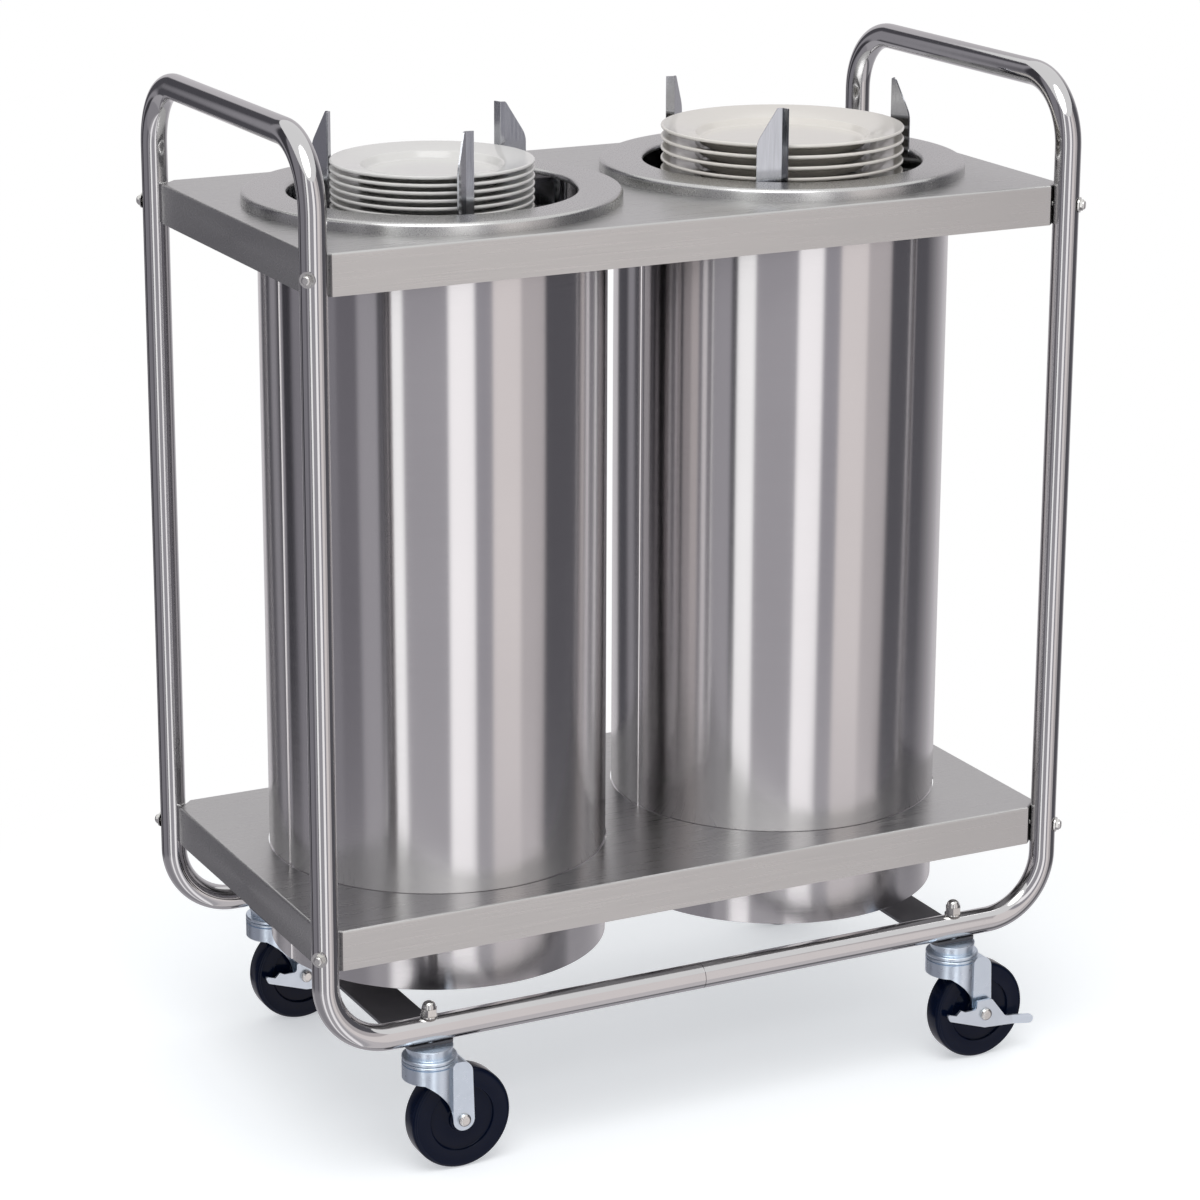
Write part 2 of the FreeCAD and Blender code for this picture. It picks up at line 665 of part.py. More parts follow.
def well_flange():
    """Drawn ring on the deck: rolled outside, with a short collar round the mouth."""
    outer_r = WELL_OD / 2 + FLANGE_OVERHANG
    mouth_r = WELL_OD / 2 - FLANGE_INSET
    top = TOP_DECK_HEIGHT + FLANGE_RISE
    collar_z = top - FLANGE_COLLAR
    return turned([
        (outer_r, TOP_DECK_HEIGHT, 0),
        (outer_r, top, FLANGE_ROLL),
        (mouth_r, top, FLANGE_LIP),
        (mouth_r, collar_z, 0),
        (mouth_r + FLANGE_SHEET, collar_z, 0),
        (mouth_r + FLANGE_SHEET, top - FLANGE_SHEET, FLANGE_LIP - FLANGE_SHEET),
        (outer_r - FLANGE_SHEET, top - FLANGE_SHEET, FLANGE_ROLL - FLANGE_SHEET),
        (outer_r - FLANGE_SHEET, TOP_DECK_HEIGHT, 0),
    ])


def rod_places(first_angle):
    """Plan point of each guide rod."""
    return [polar(ROD_R, first_angle + 360 / GUIDES * index) for index in range(GUIDES)]


def rod_ring(inset, top_z, first_angle):
    """Flat ring inside the well with a hole for each guide rod."""
    bore_r = WELL_OD / 2 - inset
    ring = pipe(WELL_INNER_R - SLIP_CLEARANCE, bore_r, RING_SHEET, Vector(0, 0, top_z - RING_SHEET))
    hole_r = ROD_DIA / 2 + RUNNING_CLEARANCE
    starts = [point + UP * (top_z - RING_SHEET) for point in rod_places(first_angle)]
    return ring.cut([bar(hole_r, start, UP, RING_SHEET) for start in starts])


def guide_rods(first_angle):
    """Vertical rods from the base ring to just under the flange."""
    bottom = BASE_TOP - RING_SHEET
    length = WELL_TOP - ROD_TOP_GAP - bottom
    return group(bar(ROD_DIA / 2, point + UP * bottom, UP, length) for point in rod_places(first_angle))


def guide():
    """Swing guide on its rod: a blade with a folded edge and three arms with sleeves."""
    top = TOP_DECK_HEIGHT + GUIDE_RISE
    bottom = BASE_TOP + GUIDE_END_GAP
    inner_x = GUIDE_ARM - GUIDE_BLADE
    half = GUIDE_SHEET / 2
    blade = Part.Face(rounded_wire([
        (Vector(inner_x, -half, bottom), 0),
        (Vector(GUIDE_ARM, -half, bottom), 0),
        (Vector(GUIDE_ARM, -half, top), 0),
        (Vector(GUIDE_ARM - GUIDE_TIP, -half, top), GUIDE_TIP_ROUND),
        (Vector(inner_x, -half, top - GUIDE_SLANT), GUIDE_SHOULDER),
    ], True)).extrude(ALONG_Y * GUIDE_SHEET)
    edge = bar(half, Vector(GUIDE_ARM, 0, bottom), UP, top - bottom)
    fold = Part.makeBox(GUIDE_FOLD, GUIDE_SHEET, top - bottom, Vector(0, -half, 0))
    fold = turned_to(fold, -GUIDE_FOLD_ANGLE, Vector(GUIDE_ARM, 0, bottom))
    pieces = [edge, fold]
    sleeve_r = GUIDE_SLEEVE_DIA / 2
    middle = (HANGER_TOP + BASE_TOP) / 2
    for arm_z in (HANGER_TOP, middle, bottom):
        pieces.append(Part.makeBox(inner_x + half, GUIDE_SHEET, GUIDE_ARM_HEIGHT, Vector(0, -half, arm_z)))
        pieces.append(bar(sleeve_r, Vector(0, 0, arm_z), UP, GUIDE_ARM_HEIGHT))
    bore = bar(ROD_DIA / 2 + RUNNING_CLEARANCE, Vector(0, 0, bottom), UP, top - bottom)
    return blade.fuse(pieces).removeSplitter().cut(bore)


def guide_swing(plate_dia, gap):
    """Turn of a guide, from pointing at the well's axis, that leaves a gap to the plates."""
    edge_r = plate_dia / 2 + gap + GUIDE_SHEET / 2
    cosine = (ROD_R ** 2 + GUIDE_ARM ** 2 - edge_r ** 2) / (2 * ROD_R * GUIDE_ARM)
    return math.degrees(math.acos(cosine))


def carrier_angles(first_angle):
    """Plan angles of the cage arms and springs, between the guides."""
    return [first_angle + CARRIER_OFFSET_ANGLE + 360 / GUIDES * index for index in range(GUIDES)]


def carrier_platform(top_z):
    """Dished plate rest with a turned-down rim and a ring of drain holes."""
    outer_r = PLATFORM_DIA / 2
    under = top_z - PLATFORM_SHEET
    rest = turned([
        (0, top_z, 0),
        (outer_r, top_z, PLATFORM_BEND),
        (outer_r, top_z - PLATFORM_RIM, 0),
        (outer_r - PLATFORM_SHEET, top_z - PLATFORM_RIM, 0),
        (outer_r - PLATFORM_SHEET, under, PLATFORM_BEND - PLATFORM_SHEET),
        (0, under, 0),
    ])
    pitch_r = PLATFORM_HOLE_PITCH_DIA / 2
    places = [polar(pitch_r, 360 / PLATFORM_HOLES * index, under) for index in range(PLATFORM_HOLES)]
    return rest.cut([bar(PLATFORM_HOLE_DIA / 2, place, UP, PLATFORM_SHEET) for place in places])


def cage_arm_top(top_z):
    """Height of the cage arms' upper faces under a platform."""
    return top_z - PLATFORM_SHEET - CAGE_DEPTH


def carrier_cage(top_z, first_angle):
    """Welded cage: a hub, three arms out to the springs and three legs up to the platform."""
    arm_top = cage_arm_top(top_z)
    arm_bottom = arm_top - CAGE_BAR_THICKNESS
    leg_r = CAGE_LEG_PITCH_DIA / 2
    arm_end = WELL_INNER_R - GLIDE_GAP
    half = CAGE_BAR_WIDTH / 2
    cage = bar(CAGE_HUB_DIA / 2, Vector(0, 0, arm_bottom), UP, CAGE_BAR_THICKNESS)
    bars = []
    for angle in carrier_angles(first_angle):
        arm = Part.makeBox(arm_end, CAGE_BAR_WIDTH, CAGE_BAR_THICKNESS, Vector(0, -half, 0))
        bars.append(turned_to(arm, angle, UP * arm_bottom))
        leg_x = leg_r - CAGE_BAR_THICKNESS / 2
        leg = Part.makeBox(CAGE_BAR_THICKNESS, CAGE_BAR_WIDTH, CAGE_DEPTH, Vector(leg_x, -half, 0))
        bars.append(turned_to(leg, angle, UP * arm_top))
    cage = cage.fuse(bars).removeSplitter()
    round_end = bar(arm_end, Vector(0, 0, arm_bottom), UP, CAGE_DEPTH + CAGE_BAR_THICKNESS)
    hub_hole = bar(CAGE_HUB_BORE / 2, Vector(0, 0, arm_bottom), UP, CAGE_BAR_THICKNESS)
    return cage.common(round_end).cut(hub_hole)


def carrier_glides(top_z, first_angle):
    """Shoes under the arm ends that slide down the wall of the well."""
    outer_r = WELL_INNER_R - GLIDE_GAP
    bottom = cage_arm_top(top_z) - CAGE_BAR_THICKNESS - GLIDE_HEIGHT
    wall = pipe(outer_r, outer_r - GLIDE_DEPTH, GLIDE_HEIGHT, Vector(0, 0, bottom))
    block = Part.makeBox(WELL_OD, CAGE_BAR_WIDTH, GLIDE_HEIGHT, Vector(0, -CAGE_BAR_WIDTH / 2, bottom))
    return group(wall.common(turned_to(block, angle, Vector())) for angle in carrier_angles(first_angle))


def spring_path(length):
    """Helix of quarter-turn arcs between two straight legs, standing on Z.

    The corners lie on a helix outside the coil, so that the arcs touch the coil's own diameter.
    """
    corner_r = SPRING_COIL_DIA / math.sqrt(2)
    steps = 4 * SPRING_TURNS
    climb = (length - 2 * SPRING_LEG) / steps
    corners = [polar(corner_r, 90 * step, SPRING_LEG + climb * step) for step in range(steps + 1)]
    reach = (corners[1] - corners[0]).Length / 2
    points = [polar(corner_r, 0)] + corners + [polar(corner_r, 0, length)]
    rounded = [(points[0], 0)]
    for before, point, after in zip(points, corners, points[2:]):
        half = (before - point).getAngle(after - point) / 2
        rounded.append((point, reach * math.tan(half)))
    return rounded_wire(rounded + [(points[-1], 0)], False)


def spring_gap(path):
    """Least gap of the wire to itself, measured on points half a turn or more apart."""
    samples = 8 * SPRING_TURNS
    points = path.discretize(Number=samples + 1)
    apart = samples // SPRING_TURNS // 2
    pairs = ((p, q) for i, p in enumerate(points) for q in points[i + apart:])
    return min((p - q).Length for p, q in pairs) - SPRING_WIRE


def carrier_springs(top_z, first_angle):
    """Extension springs from the hanger ring down to the cage arms."""
    bottom = cage_arm_top(top_z)
    path = spring_path(HANGER_TOP - RING_SHEET - bottom)
    print("least gap in a spring: %.2f mm" % spring_gap(path))
    spring = swept(path, SPRING_WIRE / 2)
    angles = carrier_angles(first_angle)
    return group(turned_to(spring, angle, polar(ROD_R, angle, bottom)) for angle in angles)


# China

def plate(dia, height, pitch, foot, well_dia, rim_rise):
    """Rimmed plate on a foot ring, which stands in the well of the plate below."""
    rim_r = dia / 2
    well_r = well_dia / 2
    foot_r = well_r * 0.78
    rim_z = height - PLATE_RIM_THICKNESS
    shoulder = rim_z - rim_rise
    wall = PLATE_RIM_THICKNESS
    return turned([
        (0, foot, 0),
        (foot_r - PLATE_FOOT_WIDTH, foot, 1),
        (foot_r - PLATE_FOOT_WIDTH + 1, 0, 0.8),
        (foot_r, 0, 0.8),
        (foot_r + 0.5, foot, 1),
        (well_r - wall, foot, 4),
        (well_r + wall, shoulder, 4),
        (rim_r, rim_z, 1.5),
        (rim_r, height, 1.5),
        (well_r + wall * 0.6, height - rim_rise, 3),
        (well_r - wall, pitch, 4),
        (0, pitch, 0),
    ])


def stack(one_plate, count, pitch, foot_z):
    """Plates standing in one another."""
    return group(placed(one_plate, Vector(0, 0, foot_z + pitch * index)) for index in range(count))


# Assembly

def well_parts(side, first_angle, swing, one_plate, height, pitch, count, top_rise):
    """Nodes of one well, moved to its place in the decks."""
    name = "left" if side < 0 else "right"
    platform_z = TOP_DECK_HEIGHT + top_rise - height - pitch * (count - 1)
    shapes = {
        "well_shell": well_shell(),
        "well_flange": well_flange(),
        "hanger_ring": rod_ring(HANGER_INSET, HANGER_TOP, first_angle),
        "base_ring": rod_ring(BASE_INSET, BASE_TOP, first_angle),
        "guide_rods": guide_rods(first_angle),
        "carrier_platform": carrier_platform(platform_z),
        "carrier_cage": carrier_cage(platform_z, first_angle),
        "carrier_glides": carrier_glides(platform_z, first_angle),
        "springs": carrier_springs(platform_z, first_angle),
        "plates": stack(one_plate, count, pitch, platform_z),
    }
    blade = guide()
    for index, rod in enumerate(rod_places(first_angle)):
        heading = first_angle + 360 / GUIDES * index + 180 - swing
        shapes["guide_%d" % (index + 1)] = turned_to(blade, heading, rod)
    centre = Vector(side * WELL_X, 0, 0)
    return {name + "_" + key: shape.translated(centre) for key, shape in shapes.items()}


def caster_parts():
    """Moving pieces of the four casters, moved to their swivel axes."""
    parts = {}
    for name, (x, y, has_brake) in CASTERS.items():
        shapes = {"yoke": yoke(), "axle": axle(has_brake), "wheel": wheel(), "bush": wheel_bush()}
        if has_brake:
            shapes["brake_lever"] = brake_lever()
        for key, shape in shapes.items():
            parts[name + "_" + key] = shape.translated(Vector(x, y, 0))
    return parts


def build():
    """All nodes of the dispenser by name."""
    side_plate = plate(SIDE_PLATE_DIA, SIDE_PLATE_HEIGHT, SIDE_PLATE_PITCH, SIDE_PLATE_FOOT,
                       SIDE_PLATE_WELL_DIA, SIDE_PLATE_RIM_RISE)
    dinner_plate = plate(DINNER_PLATE_DIA, DINNER_PLATE_HEIGHT, DINNER_PLATE_PITCH, DINNER_PLATE_FOOT,
                         DINNER_PLATE_WELL_DIA, DINNER_PLATE_RIM_RISE)
    mount = caster_mount()
    parts = {
        "left_end_frame": end_frame(-1),
        "right_end_frame": end_frame(1),
        "rail_sleeves": rail_sleeves(),
        "top_deck": deck(TOP_DECK_HEIGHT),
        "lower_deck": deck(LOWER_DECK_HEIGHT),
        "deck_bolts": deck_bolts(),
        "deck_washers": deck_washers(),
        "deck_nuts": deck_nuts(),
        "cross_plates": cross_plates(),
        "caster_mounts": group(placed(mount, point) for point in caster_points(0)),
        "stem_washers": stem_washers(),
        "stem_nuts": stem_nuts(),
    }
    parts.update(caster_parts())
    left_swing = guide_swing(SIDE_PLATE_DIA, LEFT_GUIDE_GAP)
    right_swing = guide_swing(DINNER_PLATE_DIA, RIGHT_GUIDE_GAP)
    parts.update(well_parts(-1, LEFT_ROD_ANGLE, left_swing, side_plate, SIDE_PLATE_HEIGHT,
                            SIDE_PLATE_PITCH, SIDE_PLATE_COUNT, SIDE_PLATE_TOP))
    parts.update(well_parts(1, RIGHT_ROD_ANGLE, right_swing, dinner_plate, DINNER_PLATE_HEIGHT,
                            DINNER_PLATE_PITCH, DINNER_PLATE_COUNT, DINNER_PLATE_TOP))
    return parts


os.makedirs("parts", exist_ok=True)
for node, shape in build().items():
    shape.exportStep("parts/%s.step" % node)
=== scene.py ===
"""Looks of a mobile plate dispenser: tube trolley, rolled wells, swing guides, casters and china.

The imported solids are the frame. Round pieces are drawn again here as smooth surfaces of the same
size. The flat pieces keep their solids and get their finish. Metres, +Z up, origin on the floor.
"""
import math

import bmesh
import bpy
import numpy as np
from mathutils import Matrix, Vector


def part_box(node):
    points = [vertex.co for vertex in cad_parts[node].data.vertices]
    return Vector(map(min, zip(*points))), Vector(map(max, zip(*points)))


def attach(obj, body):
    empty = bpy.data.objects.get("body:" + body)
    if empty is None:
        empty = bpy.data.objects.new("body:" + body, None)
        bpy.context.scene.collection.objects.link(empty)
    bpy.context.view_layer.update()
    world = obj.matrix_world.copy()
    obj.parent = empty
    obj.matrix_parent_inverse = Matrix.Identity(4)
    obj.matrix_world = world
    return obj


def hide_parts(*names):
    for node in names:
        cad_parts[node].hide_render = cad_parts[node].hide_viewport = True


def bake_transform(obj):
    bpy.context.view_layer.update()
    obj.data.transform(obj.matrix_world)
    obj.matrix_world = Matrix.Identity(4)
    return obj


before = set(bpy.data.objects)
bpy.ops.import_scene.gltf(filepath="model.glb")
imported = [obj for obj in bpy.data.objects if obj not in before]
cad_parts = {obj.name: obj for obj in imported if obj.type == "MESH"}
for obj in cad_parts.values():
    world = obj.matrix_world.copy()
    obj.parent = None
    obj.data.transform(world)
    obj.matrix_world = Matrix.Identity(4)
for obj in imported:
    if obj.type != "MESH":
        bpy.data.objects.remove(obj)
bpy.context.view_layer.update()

bl_info = {
    "name": "Plate dispenser looks",
    "version": (1, 0, 0),
    "blender": (4, 5, 0),
    "location": "View3D > Sidebar > Plate dispenser",
    "description": "Smooth surfaces, finishes and stage of a mobile plate dispenser",
    "category": "Add Mesh",
}

SIDES = {"left": -1, "right": 1}
CASTERS = {"front_left": (-1, -1), "front_right": (1, -1),
           "back_left": (-1, 1), "back_right": (1, 1)}
BRAKED = ("front_right", "back_left")
# Values between which most of a noise texture lies
NOISE_LOW, NOISE_HIGH = 0.3, 0.7


# Settings

def linear(code):
    """Linear colour of an sRGB hex code."""
    value = np.array([int(code[index:index + 2], 16) for index in (1, 3, 5)]) / 255
    curve = ((value + 0.055) / 1.055) ** 2.4
    return tuple(np.where(value <= 0.04045, value / 12.92, curve).tolist())


def length(name, description, millimetres):
    """Length setting, given in millimetres and kept in metres."""
    return bpy.props.FloatProperty(name=name, description=description, default=millimetres / 1000,
                                   unit="LENGTH", precision=5)


def amount(name, description, value):
    """Setting that is a plain number."""
    return bpy.props.FloatProperty(name=name, description=description, default=value)


def angle(name, description, degrees):
    """Angle setting, given in degrees and kept in radians."""
    return bpy.props.FloatProperty(name=name, description=description, default=math.radians(degrees),
                                   subtype="ANGLE")


def colour(name, description, code):
    """Colour setting, given as an sRGB hex code and kept linear."""
    return bpy.props.FloatVectorProperty(name=name, description=description, default=linear(code),
                                         subtype="COLOR", size=3, min=0, max=1)


class TrolleySettings(bpy.types.PropertyGroup):
    """Sizes of the bent-tube trolley."""
    tube: length("Tube diameter", "Outside diameter of the frame tube", 25.4)
    bend: length("Bend radius", "Centreline radius of the tube's bends", 64)
    span: length("Span", "Distance between the uprights along the long side", 787.6)
    depth: length("Depth", "Distance between the uprights along the short side", 396.8)
    rail: length("Rail height", "Height of the rails' axis", 143.5)
    handle: length("Handle height", "Height of the handles' axis", 993.8)
    seam: length("Rail seam", "Half the gap where the half rails meet", 0.3)


class WellSettings(bpy.types.PropertyGroup):
    """Sizes of the wells and their flanges."""
    spacing: length("Spacing", "Distance between the wells' axes", 379)
    diameter: length("Diameter", "Outside diameter of a well", 332)
    wall: length("Wall", "Sheet thickness of a well", 1.2)
    bottom: length("Bottom", "Height of a well's lower edge", 158.5)
    top: length("Top", "Height of a well's upper edge under its flange", 903.1)
    deck: length("Deck height", "Height of the top deck", 893.6)
    flange: length("Flange diameter", "Outside diameter of a flange", 361)
    mouth: length("Mouth diameter", "Inside diameter of a flange", 275)
    rise: length("Flange rise", "Height of a flange above the deck", 11)
    seam: angle("Seam angle", "Plan angle of the lap seam", 186)
    lap: length("Lap step", "Height of the step at the lap seam", 0.9)


class SpringSettings(bpy.types.PropertyGroup):
    """Sizes of the carrier springs."""
    pitch: length("Pitch radius", "Distance of the springs from a well's axis", 152)
    coil: length("Coil diameter", "Middle diameter of a coil", 12)
    wire: length("Wire diameter", "Diameter of the spring wire", 2)
    leg: length("Leg", "Straight length at each end of a spring", 12)
    turns: bpy.props.IntProperty(name="Turns", description="Turns of a spring", default=16, min=1)


class ChinaSettings(bpy.types.PropertyGroup):
    """Sizes of the two kinds of plate."""
    side_dia: length("Side plate", "Diameter of the plates in the left well", 194)
    side_height: length("Side plate height", "Height of one side plate", 19.5)
    side_pitch: length("Side plate pitch", "Stacking pitch of the side plates", 7.3)
    dinner_dia: length("Dinner plate", "Diameter of the plates in the right well", 240)
    dinner_height: length("Dinner plate height", "Height of one dinner plate", 25)
    dinner_pitch: length("Dinner plate pitch", "Stacking pitch of the dinner plates", 10.8)


class CasterSettings(bpy.types.PropertyGroup):
    """Sizes of the casters."""
    spread: length("Spread", "Distance between the swivel axes along the long side", 579)
    trail: length("Trail", "Distance of the axle behind the swivel axis", 28.5)
    wheel: length("Wheel diameter", "Diameter of a wheel", 101.6)
    width: length("Wheel width", "Width of a wheel's tread", 24)


class FinishSettings(bpy.types.PropertyGroup):
    """Colours of the finishes."""
    tube: colour("Polished tube", "Buffed stainless of the frame", "#CDCCCD")
    sheet: colour("Satin sheet", "Satin stainless of the decks and flanges", "#C9C9C8")
    well: colour("Brushed sheet", "Brushed stainless of the wells", "#D2D0D1")
    guide: colour("Guide blades", "Buffed stainless of the swing guides", "#B9BBC0")
    fastener: colour("Fasteners", "Bright nuts, bolts and washers", "#DAD9D6")
    plating: colour("Caster plating", "Plated pressings of the casters", "#E0ECF8")
    lever: colour("Brake levers", "Zinc plated brake levers", "#E6F0FA")
    bar: colour("Cross plates", "Dark grey of the cross plates", "#56555A")
    rubber: colour("Wheels", "Moulded rubber of the wheels", "#040D22")
    nylon: colour("Glides", "Nylon of the carrier glides", "#E2E0DA")
    side: colour("Side plates", "Glaze of the plates in the left well", "#E6E5E3")
    dinner: colour("Dinner plates", "Glaze of the plates in the right well", "#EBE7E1")


class StageSettings(bpy.types.PropertyGroup):
    """Camera and studio."""
    azimuth: angle("Azimuth", "Camera's turn from the front, to the right", -26.92)
    elevation: angle("Elevation", "Camera's height above the horizon", 15.43)
    roll: angle("Roll", "Camera's turn about its own axis", 0.22)
    distance: length("Distance", "Distance of the camera", 3652.6)
    aside: length("Aside", "Camera's move to its right", -9.5)
    above: length("Above", "Camera's move upwards", -3.8)
    aim: length("Aim", "Height of the point that the camera turns round", 575)
    focal: bpy.props.FloatProperty(name="Focal length", description="Focal length on a 36 mm frame",
                                   default=110.66, unit="CAMERA")
    shift: amount("Shift", "Vertical lens shift", -0.08)
    room_light: amount("Room light", "Strength of the white room as light", 0.6)
    lamp_power: amount("Lamp power", "Power of the overhead softbox, in watts", 40)
    lamp_size: length("Lamp size", "Diameter of the overhead softbox", 2400)
    glow: amount("Floor glow", "Light of the floor itself, which lifts its shadow", 0.47)
    fade_start: length("Fade start", "Where the floor starts to turn plain white", 450)
    fade_end: length("Fade end", "Where the floor is plain white", 950)
    card_light: amount("Card light", "Strength of the cards", 1.35)
    floor: length("Floor", "Reach of the paper floor", 40000)
    card_ring: length("Card ring", "Distance of the cards", 12000)
    card_bottom: length("Card bottom", "Lowest point of the cards, under the floor", -6000)
    card_top: length("Card top", "Highest point of the cards", 9000)


class DispenserSettings(bpy.types.PropertyGroup):
    """All settings of the plate dispenser."""
    trolley: bpy.props.PointerProperty(type=TrolleySettings)
    well: bpy.props.PointerProperty(type=WellSettings)
    spring: bpy.props.PointerProperty(type=SpringSettings)
    china: bpy.props.PointerProperty(type=ChinaSettings)
    caster: bpy.props.PointerProperty(type=CasterSettings)
    finish: bpy.props.PointerProperty(type=FinishSettings)
    stage: bpy.props.PointerProperty(type=StageSettings)


# Surfaces

def unit(vectors):
    """Vectors divided by their lengths."""
    return vectors / np.linalg.norm(vectors, axis=-1, keepdims=True)


def rounded(corners, steps):
    """Outline through corners given as coordinates and a rounding, in metres.

    A corner p of half angle h and rounding r becomes an arc about p + u r / sin h, with u on the
    bisector, between the points r / tan h along both sides. Points that coincide are dropped.
    """
    corners = np.asarray(corners, float)
    point, radius = corners[:, :-1], corners[:, -1:]
    back = unit(np.roll(point, 1, 0) - point)
    ahead = unit(np.roll(point, -1, 0) - point)
    half = np.arccos(np.clip((back * ahead).sum(1, keepdims=True), -1, 1)) / 2
    centre = point + unit(back + ahead) * radius / np.sin(half)
    first = (point + back * radius / np.tan(half) - centre)[:, None]
    last = (point + ahead * radius / np.tan(half) - centre)[:, None]
    sweep = (np.pi - 2 * half)[:, None]
    share = np.linspace(0, 1, steps)[None, :, None]
    arcs = (np.sin((1 - share) * sweep) * first + np.sin(share * sweep) * last) / np.sin(sweep)
    outline = (centre[:, None] + arcs).reshape(-1, point.shape[1])
    apart = np.linalg.norm(np.diff(outline, axis=0), axis=1) > 1e-7
    return outline[np.concatenate([[True], apart])]


def turned(profile, plan_angles):
    """Profile points (r, z) turned about Z: (r cos a, r sin a, z) at each plan angle a."""
    radius, height = profile.T
    x = np.outer(np.cos(plan_angles), radius)
    y = np.outer(np.sin(plan_angles), radius)
    return np.stack([x, y, np.broadcast_to(height, x.shape)], -1)


def carried(path, radius, sides, aside):
    """Round section carried along a path: p + radius (cos a n + sin a b).

    n is the part of `aside` that is square to the path's heading, and b is square to both.
    """
    heading = unit(np.gradient(path, axis=0))
    normal = unit(aside - (aside * heading).sum(1, keepdims=True) * heading)
    across = np.cross(heading, normal)
    turn = np.linspace(0, 2 * np.pi, sides, endpoint=False)[:, None]
    return path[:, None] + radius * (np.cos(turn) * normal[:, None] + np.sin(turn) * across[:, None])


def full_turn(segments):
    """Plan angles of a full turn."""
    return np.linspace(0, 2 * np.pi, segments, endpoint=False)


def quads(rows, columns, wrap_rows, wrap_columns):
    """Faces between neighbouring points of a grid that is stored row by row."""
    steps_down, steps_across = rows - (not wrap_rows), columns - (not wrap_columns)
    row, column = np.meshgrid(np.arange(steps_down), np.arange(steps_across), indexing="ij")
    next_row = (row + 1) % rows * columns
    next_column = (column + 1) % columns
    row = row * columns
    corners = [row + column, next_row + column, next_row + next_column, row + next_column]
    return np.stack(corners, -1).reshape(-1, 4).tolist()


def ring_solid(grid):
    """Grid of a closed profile turned once round, as points and faces."""
    return grid.reshape(-1, 3), quads(grid.shape[0], grid.shape[1], True, True)


def axis_solid(grid):
    """Grid of a profile that starts and ends on its axis, as points and faces."""
    return grid.reshape(-1, 3), quads(grid.shape[0], grid.shape[1], True, False)


def capped_tube(grid):
    """Grid of a carried section with a flat face at each end, as points and faces."""
    rows, sides = grid.shape[:2]
    ends = [list(range(sides)), list(range((rows - 1) * sides, rows * sides))]
    return grid.reshape(-1, 3), quads(rows, sides, False, True) + ends


def new_object(name, solids, sharp_degrees):
    """Joins (points, faces) solids into one smooth mesh object with its faces turned outwards."""
    starts = np.cumsum([0] + [len(points) for points, _ in solids[:-1]])
    faces = [[corner + start for corner in face] for start, (_, own) in zip(starts.tolist(), solids)
             for face in own]
    mesh = bpy.data.meshes.new(name)
    mesh.from_pydata(np.concatenate([points for points, _ in solids]).tolist(), [], faces)
    work = bmesh.new()
    work.from_mesh(mesh)
    bmesh.ops.remove_doubles(work, verts=work.verts, dist=1e-6)
    bmesh.ops.recalc_face_normals(work, faces=work.faces)
    work.to_mesh(mesh)
    work.free()
    mesh.shade_smooth()
    mesh.set_sharp_from_angle(angle=math.radians(sharp_degrees))
    piece = bpy.data.objects.new(name, mesh)
    bpy.context.scene.collection.objects.link(piece)
    return piece


def dress(piece, material, body, node):
    """Gives a new piece its finish and its body, and lets it stand for a node."""
    piece.data.materials.append(material)
    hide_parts(node)
    if body:
        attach(piece, body)


def finish_nodes(material, *names):
    """Gives nodes that keep their solids a finish."""
    for name in names:
        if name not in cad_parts:
            raise RuntimeError("no node named " + name)
        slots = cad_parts[name].data.materials
        slots.clear()
        slots.append(material)


# Finishes

def add_node(tree, kind, settings=None, **inputs):
    """Adds a node, sets its settings, and fills or links its inputs by name."""
    node = tree.nodes.new(kind)
    for key, value in (settings or {}).items():
        setattr(node, key, value)
    for key, value in inputs.items():
        socket = node.inputs[int(key[1:])] if key[0] == "_" else node.inputs[key.replace("_", " ")]
        if isinstance(value, bpy.types.NodeSocket):
            tree.links.new(value, socket)
        else:
            socket.default_value = value
    return node


def new_material(name):
    """Empty node material, and its tree."""
    material = bpy.data.materials.new(name)
    material.use_nodes = True
    material.node_tree.nodes.clear()
    return material, material.node_tree


def shade(tree, shader):
    """Links a shader to the material's output."""
    output = add_node(tree, "ShaderNodeOutputMaterial")
    tree.links.new(shader.outputs[0], output.inputs["Surface"])


def seen_plainly(tree):
    """Socket that is 1 for what the camera sees, straight, mirrored or through glass, and else 0."""
    sight = add_node(tree, "ShaderNodeLightPath").outputs
    mirrored = add_node(tree, "ShaderNodeMath", {"operation": "MAXIMUM"}, _0=sight["Is Camera Ray"],
                        _1=sight["Is Glossy Ray"])
    return add_node(tree, "ShaderNodeMath", {"operation": "MAXIMUM"}, _0=mirrored.outputs[0],
                    _1=sight["Is Transmission Ray"]).outputs[0]


